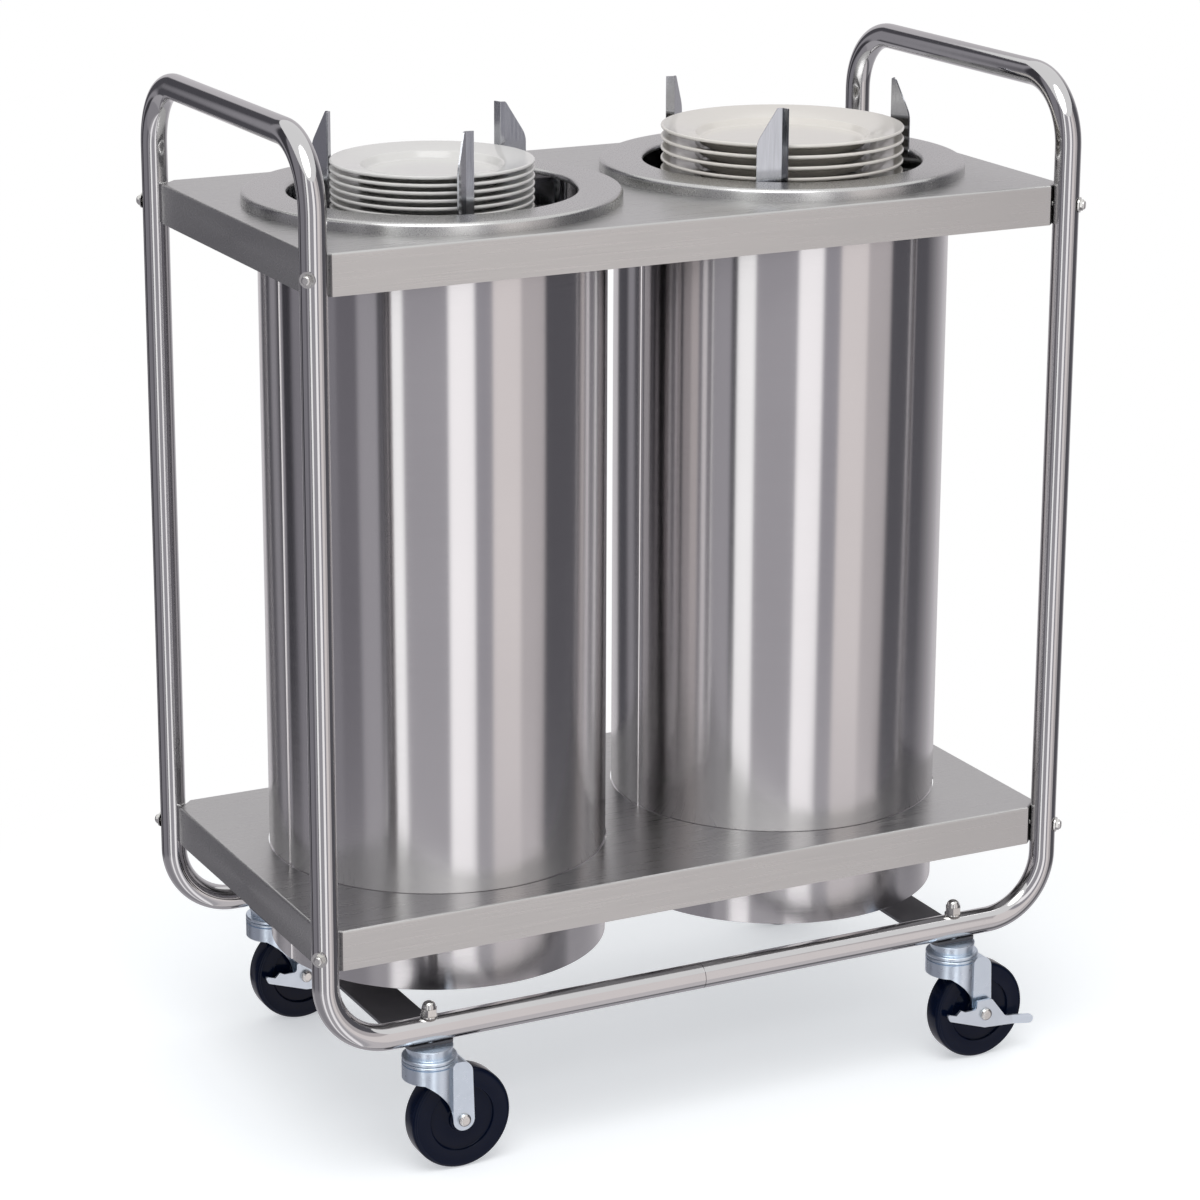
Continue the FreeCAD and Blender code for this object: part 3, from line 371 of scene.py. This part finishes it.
def metal(name, tint, roughness, grain_mm, depth_mm, cloud_mm, cloud=0.06, anisotropic=0.0,
          axis=None, rotation=0.0):
    """Bare metal: fine grain of a given size, and slow clouds of colour and gloss.

    The grain is drawn as coarse as it has to be to show. Reflections stretch along the circles about
    `axis`, or across them where `rotation` is a quarter turn.
    """
    material, tree = new_material(name)
    place = add_node(tree, "ShaderNodeTexCoord").outputs["Object"]
    grain_place = add_node(tree, "ShaderNodeMapping", Vector=place,
                           Scale=[1000 / size for size in grain_mm])
    grain = add_node(tree, "ShaderNodeTexNoise", Vector=grain_place.outputs[0], Scale=1.0, Detail=3.0)
    clouds = add_node(tree, "ShaderNodeTexNoise", Vector=place, Scale=1000 / cloud_mm, Detail=2.0)
    low, high = roughness
    gloss = add_node(tree, "ShaderNodeMapRange", Value=grain.outputs[0], From_Min=NOISE_LOW,
                     From_Max=NOISE_HIGH, To_Min=low, To_Max=high)
    dark = [value * (1 - cloud) for value in tint]
    mixed = add_node(tree, "ShaderNodeMix", {"data_type": "RGBA"}, Factor=clouds.outputs[0],
                     _6=(*tint, 1), _7=(*dark, 1))
    bump = add_node(tree, "ShaderNodeBump", Height=grain.outputs[0], Strength=0.35,
                    Distance=depth_mm / 1000)
    shader = add_node(tree, "ShaderNodeBsdfPrincipled", Base_Color=mixed.outputs[2], Metallic=1.0,
                      Roughness=gloss.outputs[0], Normal=bump.outputs[0], Anisotropic=anisotropic,
                      Anisotropic_Rotation=rotation)
    if axis:
        tangent = add_node(tree, "ShaderNodeTangent", {"direction_type": "RADIAL", "axis": axis})
        tree.links.new(tangent.outputs[0], shader.inputs["Tangent"])
    shade(tree, shader)
    return material


def porcelain(name, tint):
    """Glazed porcelain: a glossy glaze that pools a little, over a pale body with faint clouds."""
    material, tree = new_material(name)
    place = add_node(tree, "ShaderNodeTexCoord").outputs["Object"]
    cloud_mm, pool_mm, cloud = 45, 9, 0.93
    clouds = add_node(tree, "ShaderNodeTexNoise", Vector=place, Scale=1000 / cloud_mm, Detail=3.0)
    dark = [value * cloud for value in tint]
    mixed = add_node(tree, "ShaderNodeMix", {"data_type": "RGBA"}, Factor=clouds.outputs[0],
                     _6=(*tint, 1), _7=(*dark, 1))
    pools = add_node(tree, "ShaderNodeTexNoise", Vector=place, Scale=1000 / pool_mm, Detail=1.0)
    bump = add_node(tree, "ShaderNodeBump", Height=pools.outputs[0], Strength=0.2, Distance=0.0002)
    gloss = add_node(tree, "ShaderNodeMapRange", Value=clouds.outputs[0], From_Min=NOISE_LOW,
                     From_Max=NOISE_HIGH, To_Min=0.1, To_Max=0.2)
    shader = add_node(tree, "ShaderNodeBsdfPrincipled", Base_Color=mixed.outputs[2], IOR=1.52,
                      Roughness=gloss.outputs[0], Normal=bump.outputs[0])
    shade(tree, shader)
    return material


def moulded(name, tint, grit_mm, roughness, dust, ior):
    """Moulded rubber, nylon or a dull dark grey finish: even colour with a fine grit and a little pale
    dust.
    """
    material, tree = new_material(name)
    place = add_node(tree, "ShaderNodeTexCoord").outputs["Object"]
    grit = add_node(tree, "ShaderNodeTexNoise", Vector=place, Scale=1000 / grit_mm, Detail=4.0)
    patch_mm = 18
    patches = add_node(tree, "ShaderNodeTexNoise", Vector=place, Scale=1000 / patch_mm, Detail=5.0)
    worn = add_node(tree, "ShaderNodeMapRange", Value=patches.outputs[0], From_Min=0.5, From_Max=0.85,
                    To_Min=0.0, To_Max=dust)
    pale = [0.75 * value + 0.08 for value in tint]
    mixed = add_node(tree, "ShaderNodeMix", {"data_type": "RGBA"}, Factor=worn.outputs[0],
                     _6=(*tint, 1), _7=(*pale, 1))
    gloss = add_node(tree, "ShaderNodeMapRange", Value=patches.outputs[0], From_Min=NOISE_LOW,
                     From_Max=NOISE_HIGH, To_Min=roughness[0], To_Max=roughness[1])
    bump = add_node(tree, "ShaderNodeBump", Height=grit.outputs[0], Strength=0.15, Distance=0.0002)
    shader = add_node(tree, "ShaderNodeBsdfPrincipled", Base_Color=mixed.outputs[2], IOR=ior,
                      Roughness=gloss.outputs[0], Normal=bump.outputs[0])
    shade(tree, shader)
    return material


# Pieces

class PLATEDISPENSER_OT_tubes(bpy.types.Operator):
    """Draws the two bent tubes of the trolley"""
    bl_idname = "plate_dispenser.tubes"
    bl_label = "Frame tubes"

    def execute(self, context):
        size = context.scene.plate_dispenser.trolley
        tint = context.scene.plate_dispenser.finish.tube
        # Buffed stainless tube: mirror-like, with faint drawing marks and a slow wave in what it mirrors
        polished = metal("buffed stainless tube", tint, (0.05, 0.1), (6, 6, 6), 0.02, 60)
        y = size.depth / 2
        for side, sign in SIDES.items():
            x = sign * size.span / 2
            seam = sign * size.seam
            path = rounded([
                (seam, -y, size.rail, 0), (x, -y, size.rail, size.bend),
                (x, -y, size.handle, size.bend), (x, y, size.handle, size.bend),
                (x, y, size.rail, size.bend), (seam, y, size.rail, 0),
            ], 25)
            grid = carried(path, size.tube / 2, 64, np.array([0.8, 0.5, 0.33]))
            piece = new_object(side + "_frame_tube", [capped_tube(grid)], 40)
            dress(piece, polished, "trolley", side + "_end_frame")
        finish_nodes(polished, "rail_sleeves", "left_guide_rods", "right_guide_rods")
        return {"FINISHED"}


class PLATEDISPENSER_OT_decks(bpy.types.Operator):
    """Finishes the decks and the cross plates"""
    bl_idname = "plate_dispenser.decks"
    bl_label = "Decks"

    def execute(self, context):
        finish = context.scene.plate_dispenser.finish
        # Satin stainless sheet: a fine grain along the deck blurs what it reflects
        satin = metal("satin stainless sheet", finish.sheet, (0.26, 0.34), (90, 1.2, 1.2), 0.003, 150,
                      anisotropic=0.5, axis="X")
        # Dark grey flat bar: dull, with a little dust
        dark_bar = moulded("dark grey bar", finish.bar, 2.5, (0.4, 0.55), 0.3, 1.5)
        finish_nodes(satin, "top_deck", "lower_deck")
        finish_nodes(dark_bar, "cross_plates")
        return {"FINISHED"}


class PLATEDISPENSER_OT_wells(bpy.types.Operator):
    """Draws the rolled wells with their lap seams and the drawn flanges"""
    bl_idname = "plate_dispenser.wells"
    bl_label = "Wells"

    def execute(self, context):
        size = context.scene.plate_dispenser.well
        finish = context.scene.plate_dispenser.finish
        # Brushed stainless sheet, rolled: the grain runs round, so reflections stretch upwards
        brushed = metal("brushed stainless well", finish.well, (0.15, 0.19), (60, 60, 0.9), 0.0003, 120,
                        anisotropic=1.0, axis="Z", rotation=0.25)
        # Satin stainless ring, spun: the grain runs round the mouth
        spun = metal("spun stainless flange", finish.sheet, (0.26, 0.3), (1.5, 1.5, 1.5), 0.0006, 150,
                     anisotropic=0.3, axis="Z", rotation=0.25)
        outer, inner = size.diameter / 2, size.diameter / 2 - size.wall
        edge = size.wall * 0.4
        wall = rounded([(outer, size.bottom, edge), (outer, size.top, edge), (inner, size.top, edge),
                        (inner, size.bottom, edge)], 4)
        ring, mouth, rise = size.flange / 2, size.mouth / 2, size.deck + size.rise
        sheet, roll, lip, collar = 0.0015, 0.0045, 0.004, 0.005
        rim = rounded([
            (ring, size.deck, 0), (ring, rise, roll), (mouth, rise, lip), (mouth, rise - collar, 0),
            (mouth + sheet, rise - collar, 0), (mouth + sheet, rise - sheet, lip - sheet),
            (ring - sheet, rise - sheet, roll - sheet), (ring - sheet, size.deck, 0),
        ], 12)
        # The lap is a step in the radius: r - lap while the angle past the seam is within the overlap
        segments, overlap, offset, crease = 240, 0.075, 0.003, 0.001
        around, at_seam = full_turn(segments) + offset, size.seam + np.array([-crease, crease])
        plan = np.sort(np.concatenate([around, at_seam]))
        past = np.clip((plan - size.seam) / overlap, -1, 2)
        step = np.where((past > 0) & (past < 1), size.lap * (1 - past) ** 2, 0)
        for side, sign in SIDES.items():
            grid = turned(wall, plan)
            grid[..., :2] *= (1 - step / outer)[:, None, None]
            centre = np.array([sign * size.spacing / 2, 0, 0])
            shell = new_object(side + "_well", [ring_solid(grid + centre)], 35)
            dress(shell, brushed, "trolley", side + "_well_shell")
            grid = turned(rim, full_turn(segments))
            flange = new_object(side + "_flange", [ring_solid(grid + centre)], 35)
            dress(flange, spun, "trolley", side + "_well_flange")
        return {"FINISHED"}


class PLATEDISPENSER_OT_carriers(bpy.types.Operator):
    """Finishes the rings and the sprung carriers inside the wells, and winds the springs"""
    bl_idname = "plate_dispenser.carriers"
    bl_label = "Carriers and springs"

    def execute(self, context):
        size = context.scene.plate_dispenser.spring
        finish = context.scene.plate_dispenser.finish
        # Plain mill-finish stainless: an even dull grain
        mill = metal("mill finish stainless", finish.well, (0.3, 0.42), (4, 4, 4), 0.02, 60)
        # Hard-drawn spring wire: dark, with drawing marks
        wire = metal("hard-drawn spring wire", linear("#9A9A9C"), (0.25, 0.35), (3, 3, 3), 0.01, 30)
        # Moulded nylon: pale, dull, a little dusty
        nylon = moulded("moulded nylon glide", finish.nylon, 1.5, (0.45, 0.6), 0.2, 1.53)
        for side, first in (("left", 10.9), ("right", -22.2)):
            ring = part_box(side + "_hanger_ring")
            top, bottom = ring[0].z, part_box(side + "_springs")[0].z
            centre = (ring[0] + ring[1]) / 2
            # Helix about each hook: radius coil / 2, with straight legs above and below
            turn = np.linspace(0, 2 * np.pi * size.turns, 24 * size.turns + 1)
            climb = np.linspace(bottom + size.leg, top - size.leg, turn.size)
            coil = np.stack([np.cos(turn), np.sin(turn), climb / (size.coil / 2)], -1) * size.coil / 2
            path = np.concatenate([[(size.coil / 2, 0, bottom)], coil, [(size.coil / 2, 0, top)]])
            outwards = path * (1, 1, 0)
            springs = []
            for place in np.radians(first + 75 + np.array([0, 120, 240])):
                spot = np.array([centre.x + size.pitch * np.cos(place),
                                 centre.y + size.pitch * np.sin(place), 0])
                springs.append(capped_tube(carried(path, size.wire / 2, 10, outwards) + spot))
            piece = new_object(side + "_spring_set", springs, 60)
            dress(piece, wire, None, side + "_springs")
            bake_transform(piece)
            finish_nodes(mill, *(side + name for name in (
                "_hanger_ring", "_base_ring", "_carrier_platform", "_carrier_cage")))
            finish_nodes(nylon, side + "_carrier_glides")
        return {"FINISHED"}


class PLATEDISPENSER_OT_guides(bpy.types.Operator):
    """Finishes the swing guides"""
    bl_idname = "plate_dispenser.guides"
    bl_label = "Swing guides"

    def execute(self, context):
        # Buffed stainless blades: dark mirror-like faces with fine upright scratches from the plates
        blade = metal("buffed guide blade", context.scene.plate_dispenser.finish.guide, (0.1, 0.2),
                      (1.5, 1.5, 40), 0.01, 50, cloud=0.12)
        finish_nodes(blade, *("%s_guide_%d" % (side, index) for side in SIDES for index in (1, 2, 3)))
        return {"FINISHED"}


class PLATEDISPENSER_OT_plates(bpy.types.Operator):
    """Turns the two stacks of plates"""
    bl_idname = "plate_dispenser.plates"
    bl_label = "Plates"

    def execute(self, context):
        size = context.scene.plate_dispenser.china
        finish = context.scene.plate_dispenser.finish
        # Side, diameter, height, pitch, foot height, well diameter, rim rise, count, glaze and its name
        stacks = (
            ("left", size.side_dia, size.side_height, size.side_pitch,
             0.0036, 0.132, 0.005, 9, finish.side, "white glazed porcelain"),
            ("right", size.dinner_dia, size.dinner_height, size.dinner_pitch,
             0.006, 0.168, 0.008, 6, finish.dinner, "cream glazed porcelain"),
        )
        wall, foot_width = 0.0034, 0.005
        for side, dia, height, pitch, foot, well_dia, rise, count, tint, name in stacks:
            rim, well = dia / 2, well_dia / 2
            ring = well * 0.78
            under = height - wall
            profile = rounded([
                (0, foot, 0), (ring - foot_width, foot, 0.001), (ring - foot_width + 0.001, 0, 0.0008),
                (ring, 0, 0.0008), (ring + 0.0005, foot, 0.001), (well - wall, foot, 0.004),
                (well + wall, under - rise, 0.004), (rim, under, 0.0015), (rim, height, 0.0015),
                (well + wall * 0.6, height - rise, 0.003), (well - wall, pitch, 0.004), (0, pitch, 0),
            ], 7)
            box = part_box(side + "_plates")
            centre = (box[0] + box[1]) / 2
            one = turned(profile, full_turn(144))
            lifts = [np.array([centre.x, centre.y, box[0].z + pitch * index]) for index in range(count)]
            piece = new_object(side + "_plate_stack", [axis_solid(one + lift) for lift in lifts], 50)
            dress(piece, porcelain(name, tint), side + "_stack", side + "_plates")
        return {"FINISHED"}


class PLATEDISPENSER_OT_casters(bpy.types.Operator):
    """Turns the caster mounts and wheels, and finishes the forks and brake levers"""
    bl_idname = "plate_dispenser.casters"
    bl_label = "Casters"

    def execute(self, context):
        size = context.scene.plate_dispenser.caster
        finish = context.scene.plate_dispenser.finish
        # Zinc plated pressed steel: pale blue silver with a soft gloss and cloudy patches
        plated = metal("zinc plated pressed steel", finish.plating, (0.26, 0.36), (5, 5, 5), 0.01, 25,
                       cloud=0.1)
        # Zinc plated lever: paler and duller
        zinc = metal("zinc plated lever", finish.lever, (0.32, 0.42), (3, 3, 3), 0.01, 15, cloud=0.1)
        # Moulded hard rubber: blue-black and glossy, with crisp highlights and a trace of dust
        rubber = moulded("moulded hard rubber", finish.rubber, 1.2, (0.1, 0.16), 0.03, 1.25)
        deep = context.scene.plate_dispenser.trolley.depth / 2
        spots = {name: np.array([sx * size.spread / 2, sy * deep, 0])
                 for name, (sx, sy) in CASTERS.items()}
        # Mount section (radius, height, rounding) in millimetres: kingpin, raceway, cup and stem
        mount = rounded(np.array([
            (0, 105, 0), (11, 105, 0), (11, 107.5, 0), (6, 107.5, 0), (6, 114.5, 0),
            (26.5, 114.5, 1.4), (26.5, 118.3, 1.4), (21, 118.3, 0.5), (23, 127.8, 0.6),
            (4.75, 127.8, 0), (4.75, 164.6, 0), (0, 164.6, 0),
        ]) / 1000, 6)
        grid = turned(mount, full_turn(72))
        piece = new_object("caster_cups", [axis_solid(grid + spot) for spot in spots.values()], 35)
        dress(piece, plated, "trolley", "caster_mounts")
        # Wheel section (radius, depth, rounding) in millimetres: bore, hub, stepped web and rounded
        # shoulder, and the same mirrored
        radius, half = size.wheel / 2 * 1000, size.width / 2 * 1000
        front = np.array([
            (6.55, -12.4, 0), (13, -12.4, 1), (13, 3.5 - half, 2), (32.5, 3.5 - half, 1.5),
            (32.5, -half, 1), (radius, -half, 5),
        ])
        section = rounded(np.concatenate([front, front[::-1] * (1, -1, 1)]) / 1000, 8)
        wheel = turned(section, full_turn(120))[..., [0, 2, 1]]
        for name, spot in spots.items():
            hub = spot + np.array([size.trail, 0, size.wheel / 2])
            piece = new_object(name + "_tyre", [ring_solid(wheel + hub)], 40)
            dress(piece, rubber, name + "_roller", name + "_wheel")
            finish_nodes(plated, name + "_yoke")
        finish_nodes(zinc, *(name + "_brake_lever" for name in BRAKED))
        return {"FINISHED"}


class PLATEDISPENSER_OT_fasteners(bpy.types.Operator):
    """Finishes the nuts, bolts and washers"""
    bl_idname = "plate_dispenser.fasteners"
    bl_label = "Fasteners"

    def execute(self, context):
        # Bright stainless: polished domes with a slight haze
        bright = metal("bright stainless fastener", context.scene.plate_dispenser.finish.fastener,
                       (0.1, 0.2), (2, 2, 2), 0.01, 10)
        finish_nodes(bright, "deck_bolts", "deck_washers", "deck_nuts", "stem_washers", "stem_nuts",
                     *(name + kind for name in CASTERS for kind in ("_axle", "_bush")))
        return {"FINISHED"}


class PLATEDISPENSER_OT_stage(bpy.types.Operator):
    """Sets the camera, the white floor, the light and the cards that the metal reflects"""
    bl_idname = "plate_dispenser.stage"
    bl_label = "Stage"

    def execute(self, context):
        scene = context.scene
        size = scene.plate_dispenser.stage
        scene.view_settings.view_transform = "Standard"
        lens = bpy.data.cameras.new("photo_camera")
        lens.sensor_width = 36
        lens.lens = size.focal
        lens.shift_y = size.shift
        lens.clip_end = 100
        camera = bpy.data.objects.new("photo_camera", lens)
        scene.collection.objects.link(camera)
        turn, rise = size.azimuth, size.elevation
        back = np.array([math.sin(turn) * math.cos(rise), -math.cos(turn) * math.cos(rise),
                         math.sin(rise)])
        right = np.array([math.cos(turn), math.sin(turn), 0])
        up = np.cross(back, right)
        spot = (0, 0, size.aim) + back * size.distance + right * size.aside + up * size.above
        camera.location = spot
        camera.rotation_euler = (math.pi / 2 - rise, 0, turn)
        camera.rotation_euler.rotate_axis("Z", size.roll)
        scene.camera = camera

        world = bpy.data.worlds.new("white_room")
        scene.world = world
        world.use_nodes = True
        tree = world.node_tree
        tree.nodes.clear()
        light = add_node(tree, "ShaderNodeBackground", Color=(1, 1, 1, 1), Strength=size.room_light)
        white = add_node(tree, "ShaderNodeBackground", Color=(1, 1, 1, 1), Strength=1.0)
        room = add_node(tree, "ShaderNodeMixShader", _0=seen_plainly(tree), _1=light.outputs[0],
                        _2=white.outputs[0])
        add_node(tree, "ShaderNodeOutputWorld", Surface=room.outputs[0])

        lamp = bpy.data.lights.new("overhead_softbox", "AREA")
        lamp.shape = "DISK"
        lamp.size = size.lamp_size
        lamp.energy = size.lamp_power
        softbox = bpy.data.objects.new("overhead_softbox", lamp)
        softbox.location = (-0.9, -1.4, 3.4)
        softbox.rotation_euler = (0.38, -0.25, 0)
        scene.collection.objects.link(softbox)

        # White paper: shows the soft shadow near the trolley and plain white further away
        paper, tree = new_material("white paper floor")
        place = add_node(tree, "ShaderNodeTexCoord").outputs["Object"]
        reach = add_node(tree, "ShaderNodeVectorMath", {"operation": "LENGTH"}, Vector=place)
        far = add_node(tree, "ShaderNodeMapRange", {"interpolation_type": "SMOOTHSTEP"},
                       Value=reach.outputs["Value"], From_Min=size.fade_start, From_Max=size.fade_end)
        white = add_node(tree, "ShaderNodeMath", {"operation": "MULTIPLY"}, _0=far.outputs[0],
                         _1=seen_plainly(tree))
        matt = add_node(tree, "ShaderNodeBsdfDiffuse", Color=(0.82, 0.84, 0.85, 1))
        glow = add_node(tree, "ShaderNodeEmission", Color=(0.94, 0.965, 1, 1), Strength=size.glow)
        near = add_node(tree, "ShaderNodeAddShader", _0=matt.outputs[0], _1=glow.outputs[0])
        plain = add_node(tree, "ShaderNodeEmission", Color=(1, 1, 1, 1), Strength=1.0)
        shade(tree, add_node(tree, "ShaderNodeMixShader", _0=white.outputs[0], _1=near.outputs[0],
                             _2=plain.outputs[0]))
        # The metal mirrors the cards in place of the floor
        disc = turned(np.array([[0, 0], [size.floor, 0]]), full_turn(96))
        floor = new_object("paper_floor", [axis_solid(disc)], 30)
        floor.data.materials.append(paper)
        floor.visible_glossy = False

        # Cards round the trolley: bands of brightness by the angle from the camera in degrees, for the
        # cards that stand and for those that lie
        upright = [
            (-180, -152, "#B8B5B8"), (-148, -132, "#4A494E"), (-128, -122, "#8A888D"),
            (-118, -104, "#3C3B40"), (-100, -64, "#7E7C82"), (-62, -49, "#6A686E"),
            (-47, -34.6, "#9A989D"), (-33.6, -30.6, "#4A494E"), (-29.6, -18.5, "#FFFFFF"),
            (-17.5, 10.2, "#9C9A9F"), (11.8, 27, "#FFFDFE"), (29, 39, "#96949A"),
            (41, 59, "#DCD6D5"), (61, 78, "#B6B1B2"), (80, 116, "#56555A"), (152, 180, "#B8B5B8"),
        ]
        ground = [
            (-180, -114, "#A09EA2"), (-110, -50, "#8C8A8F"), (-46, -36, "#A09EA2"),
            (-29.5, -19, "#FAF8FA"), (-16, 9, "#AAA8AC"), (13, 25, "#FAF8FA"), (31, 38, "#AAA8AC"),
            (43, 75, "#C4C0C2"), (82, 104, "#6C6B6F"), (108, 180, "#A09EA2"),
        ]
        card, tree = new_material("reflection cards")
        place = add_node(tree, "ShaderNodeTexCoord").outputs["Object"]
        facing = add_node(tree, "ShaderNodeMapping", Vector=place,
                          Rotation=(0, 0, math.pi / 2 - size.azimuth))
        sweep = add_node(tree, "ShaderNodeTexGradient", {"gradient_type": "RADIAL"},
                         Vector=facing.outputs[0])
        ramps = []
        for bands in (ground, upright):
            ramp = add_node(tree, "ShaderNodeValToRGB", Fac=sweep.outputs["Fac"])
            stops = ramp.color_ramp.elements
            edges = [(end, code) for start, stop, code in bands for end in (start, stop)]
            while len(stops) < len(edges):
                stops.new(1.0)
            for stop, (degrees, code) in zip(stops, edges):
                stop.position = degrees / 360 + 0.5
                stop.color = (*linear(code), 1)
            ramps.append(ramp.outputs[0])
        height = add_node(tree, "ShaderNodeSeparateXYZ", Vector=place)
        # The ground's bands turn into the upright ones over the lowest metre of the ring
        ring, low, high = size.card_ring, size.card_bottom, size.card_top
        joined = low + 1
        rising = add_node(tree, "ShaderNodeMapRange", Value=height.outputs["Z"], From_Min=low,
                          From_Max=joined)
        mixed = add_node(tree, "ShaderNodeMix", {"data_type": "RGBA"}, Factor=rising.outputs[0],
                         _6=ramps[0], _7=ramps[1])
        shade(tree, add_node(tree, "ShaderNodeEmission", Color=mixed.outputs[2],
                             Strength=size.card_light))
        strip = turned(np.array([[0, low], [ring, low], [ring, joined], [ring, high]]), full_turn(180))
        cards = new_object("reflection_cards", [axis_solid(strip)], 30)
        cards.data.materials.append(card)
        cards.visible_camera = False
        cards.visible_diffuse = False
        cards.visible_shadow = False
        return {"FINISHED"}


OPERATORS = (
    PLATEDISPENSER_OT_tubes, PLATEDISPENSER_OT_decks, PLATEDISPENSER_OT_wells,
    PLATEDISPENSER_OT_carriers, PLATEDISPENSER_OT_guides, PLATEDISPENSER_OT_plates,
    PLATEDISPENSER_OT_casters, PLATEDISPENSER_OT_fasteners, PLATEDISPENSER_OT_stage,
)


class PLATEDISPENSER_PT_panel(bpy.types.Panel):
    """Lists the pieces of the plate dispenser"""
    bl_idname = "PLATEDISPENSER_PT_panel"
    bl_label = "Plate dispenser"
    bl_space_type = "VIEW_3D"
    bl_region_type = "UI"
    bl_category = "Plate dispenser"

    def draw(self, context):
        for operator in OPERATORS:
            self.layout.operator(operator.bl_idname)


CLASSES = (
    TrolleySettings, WellSettings, SpringSettings, ChinaSettings, CasterSettings, FinishSettings,
    StageSettings, DispenserSettings, *OPERATORS, PLATEDISPENSER_PT_panel,
)


def register():
    for kind in CLASSES:
        bpy.utils.register_class(kind)
    bpy.types.Scene.plate_dispenser = bpy.props.PointerProperty(type=DispenserSettings)


def unregister():
    del bpy.types.Scene.plate_dispenser
    for kind in reversed(CLASSES):
        bpy.utils.unregister_class(kind)


def main():
    """Makes every piece in order."""
    register()
    bpy.ops.plate_dispenser.tubes()
    bpy.ops.plate_dispenser.decks()
    bpy.ops.plate_dispenser.wells()
    bpy.ops.plate_dispenser.carriers()
    bpy.ops.plate_dispenser.guides()
    bpy.ops.plate_dispenser.plates()
    bpy.ops.plate_dispenser.casters()
    bpy.ops.plate_dispenser.fasteners()
    bpy.ops.plate_dispenser.stage()


if __name__ == "__main__":
    main()
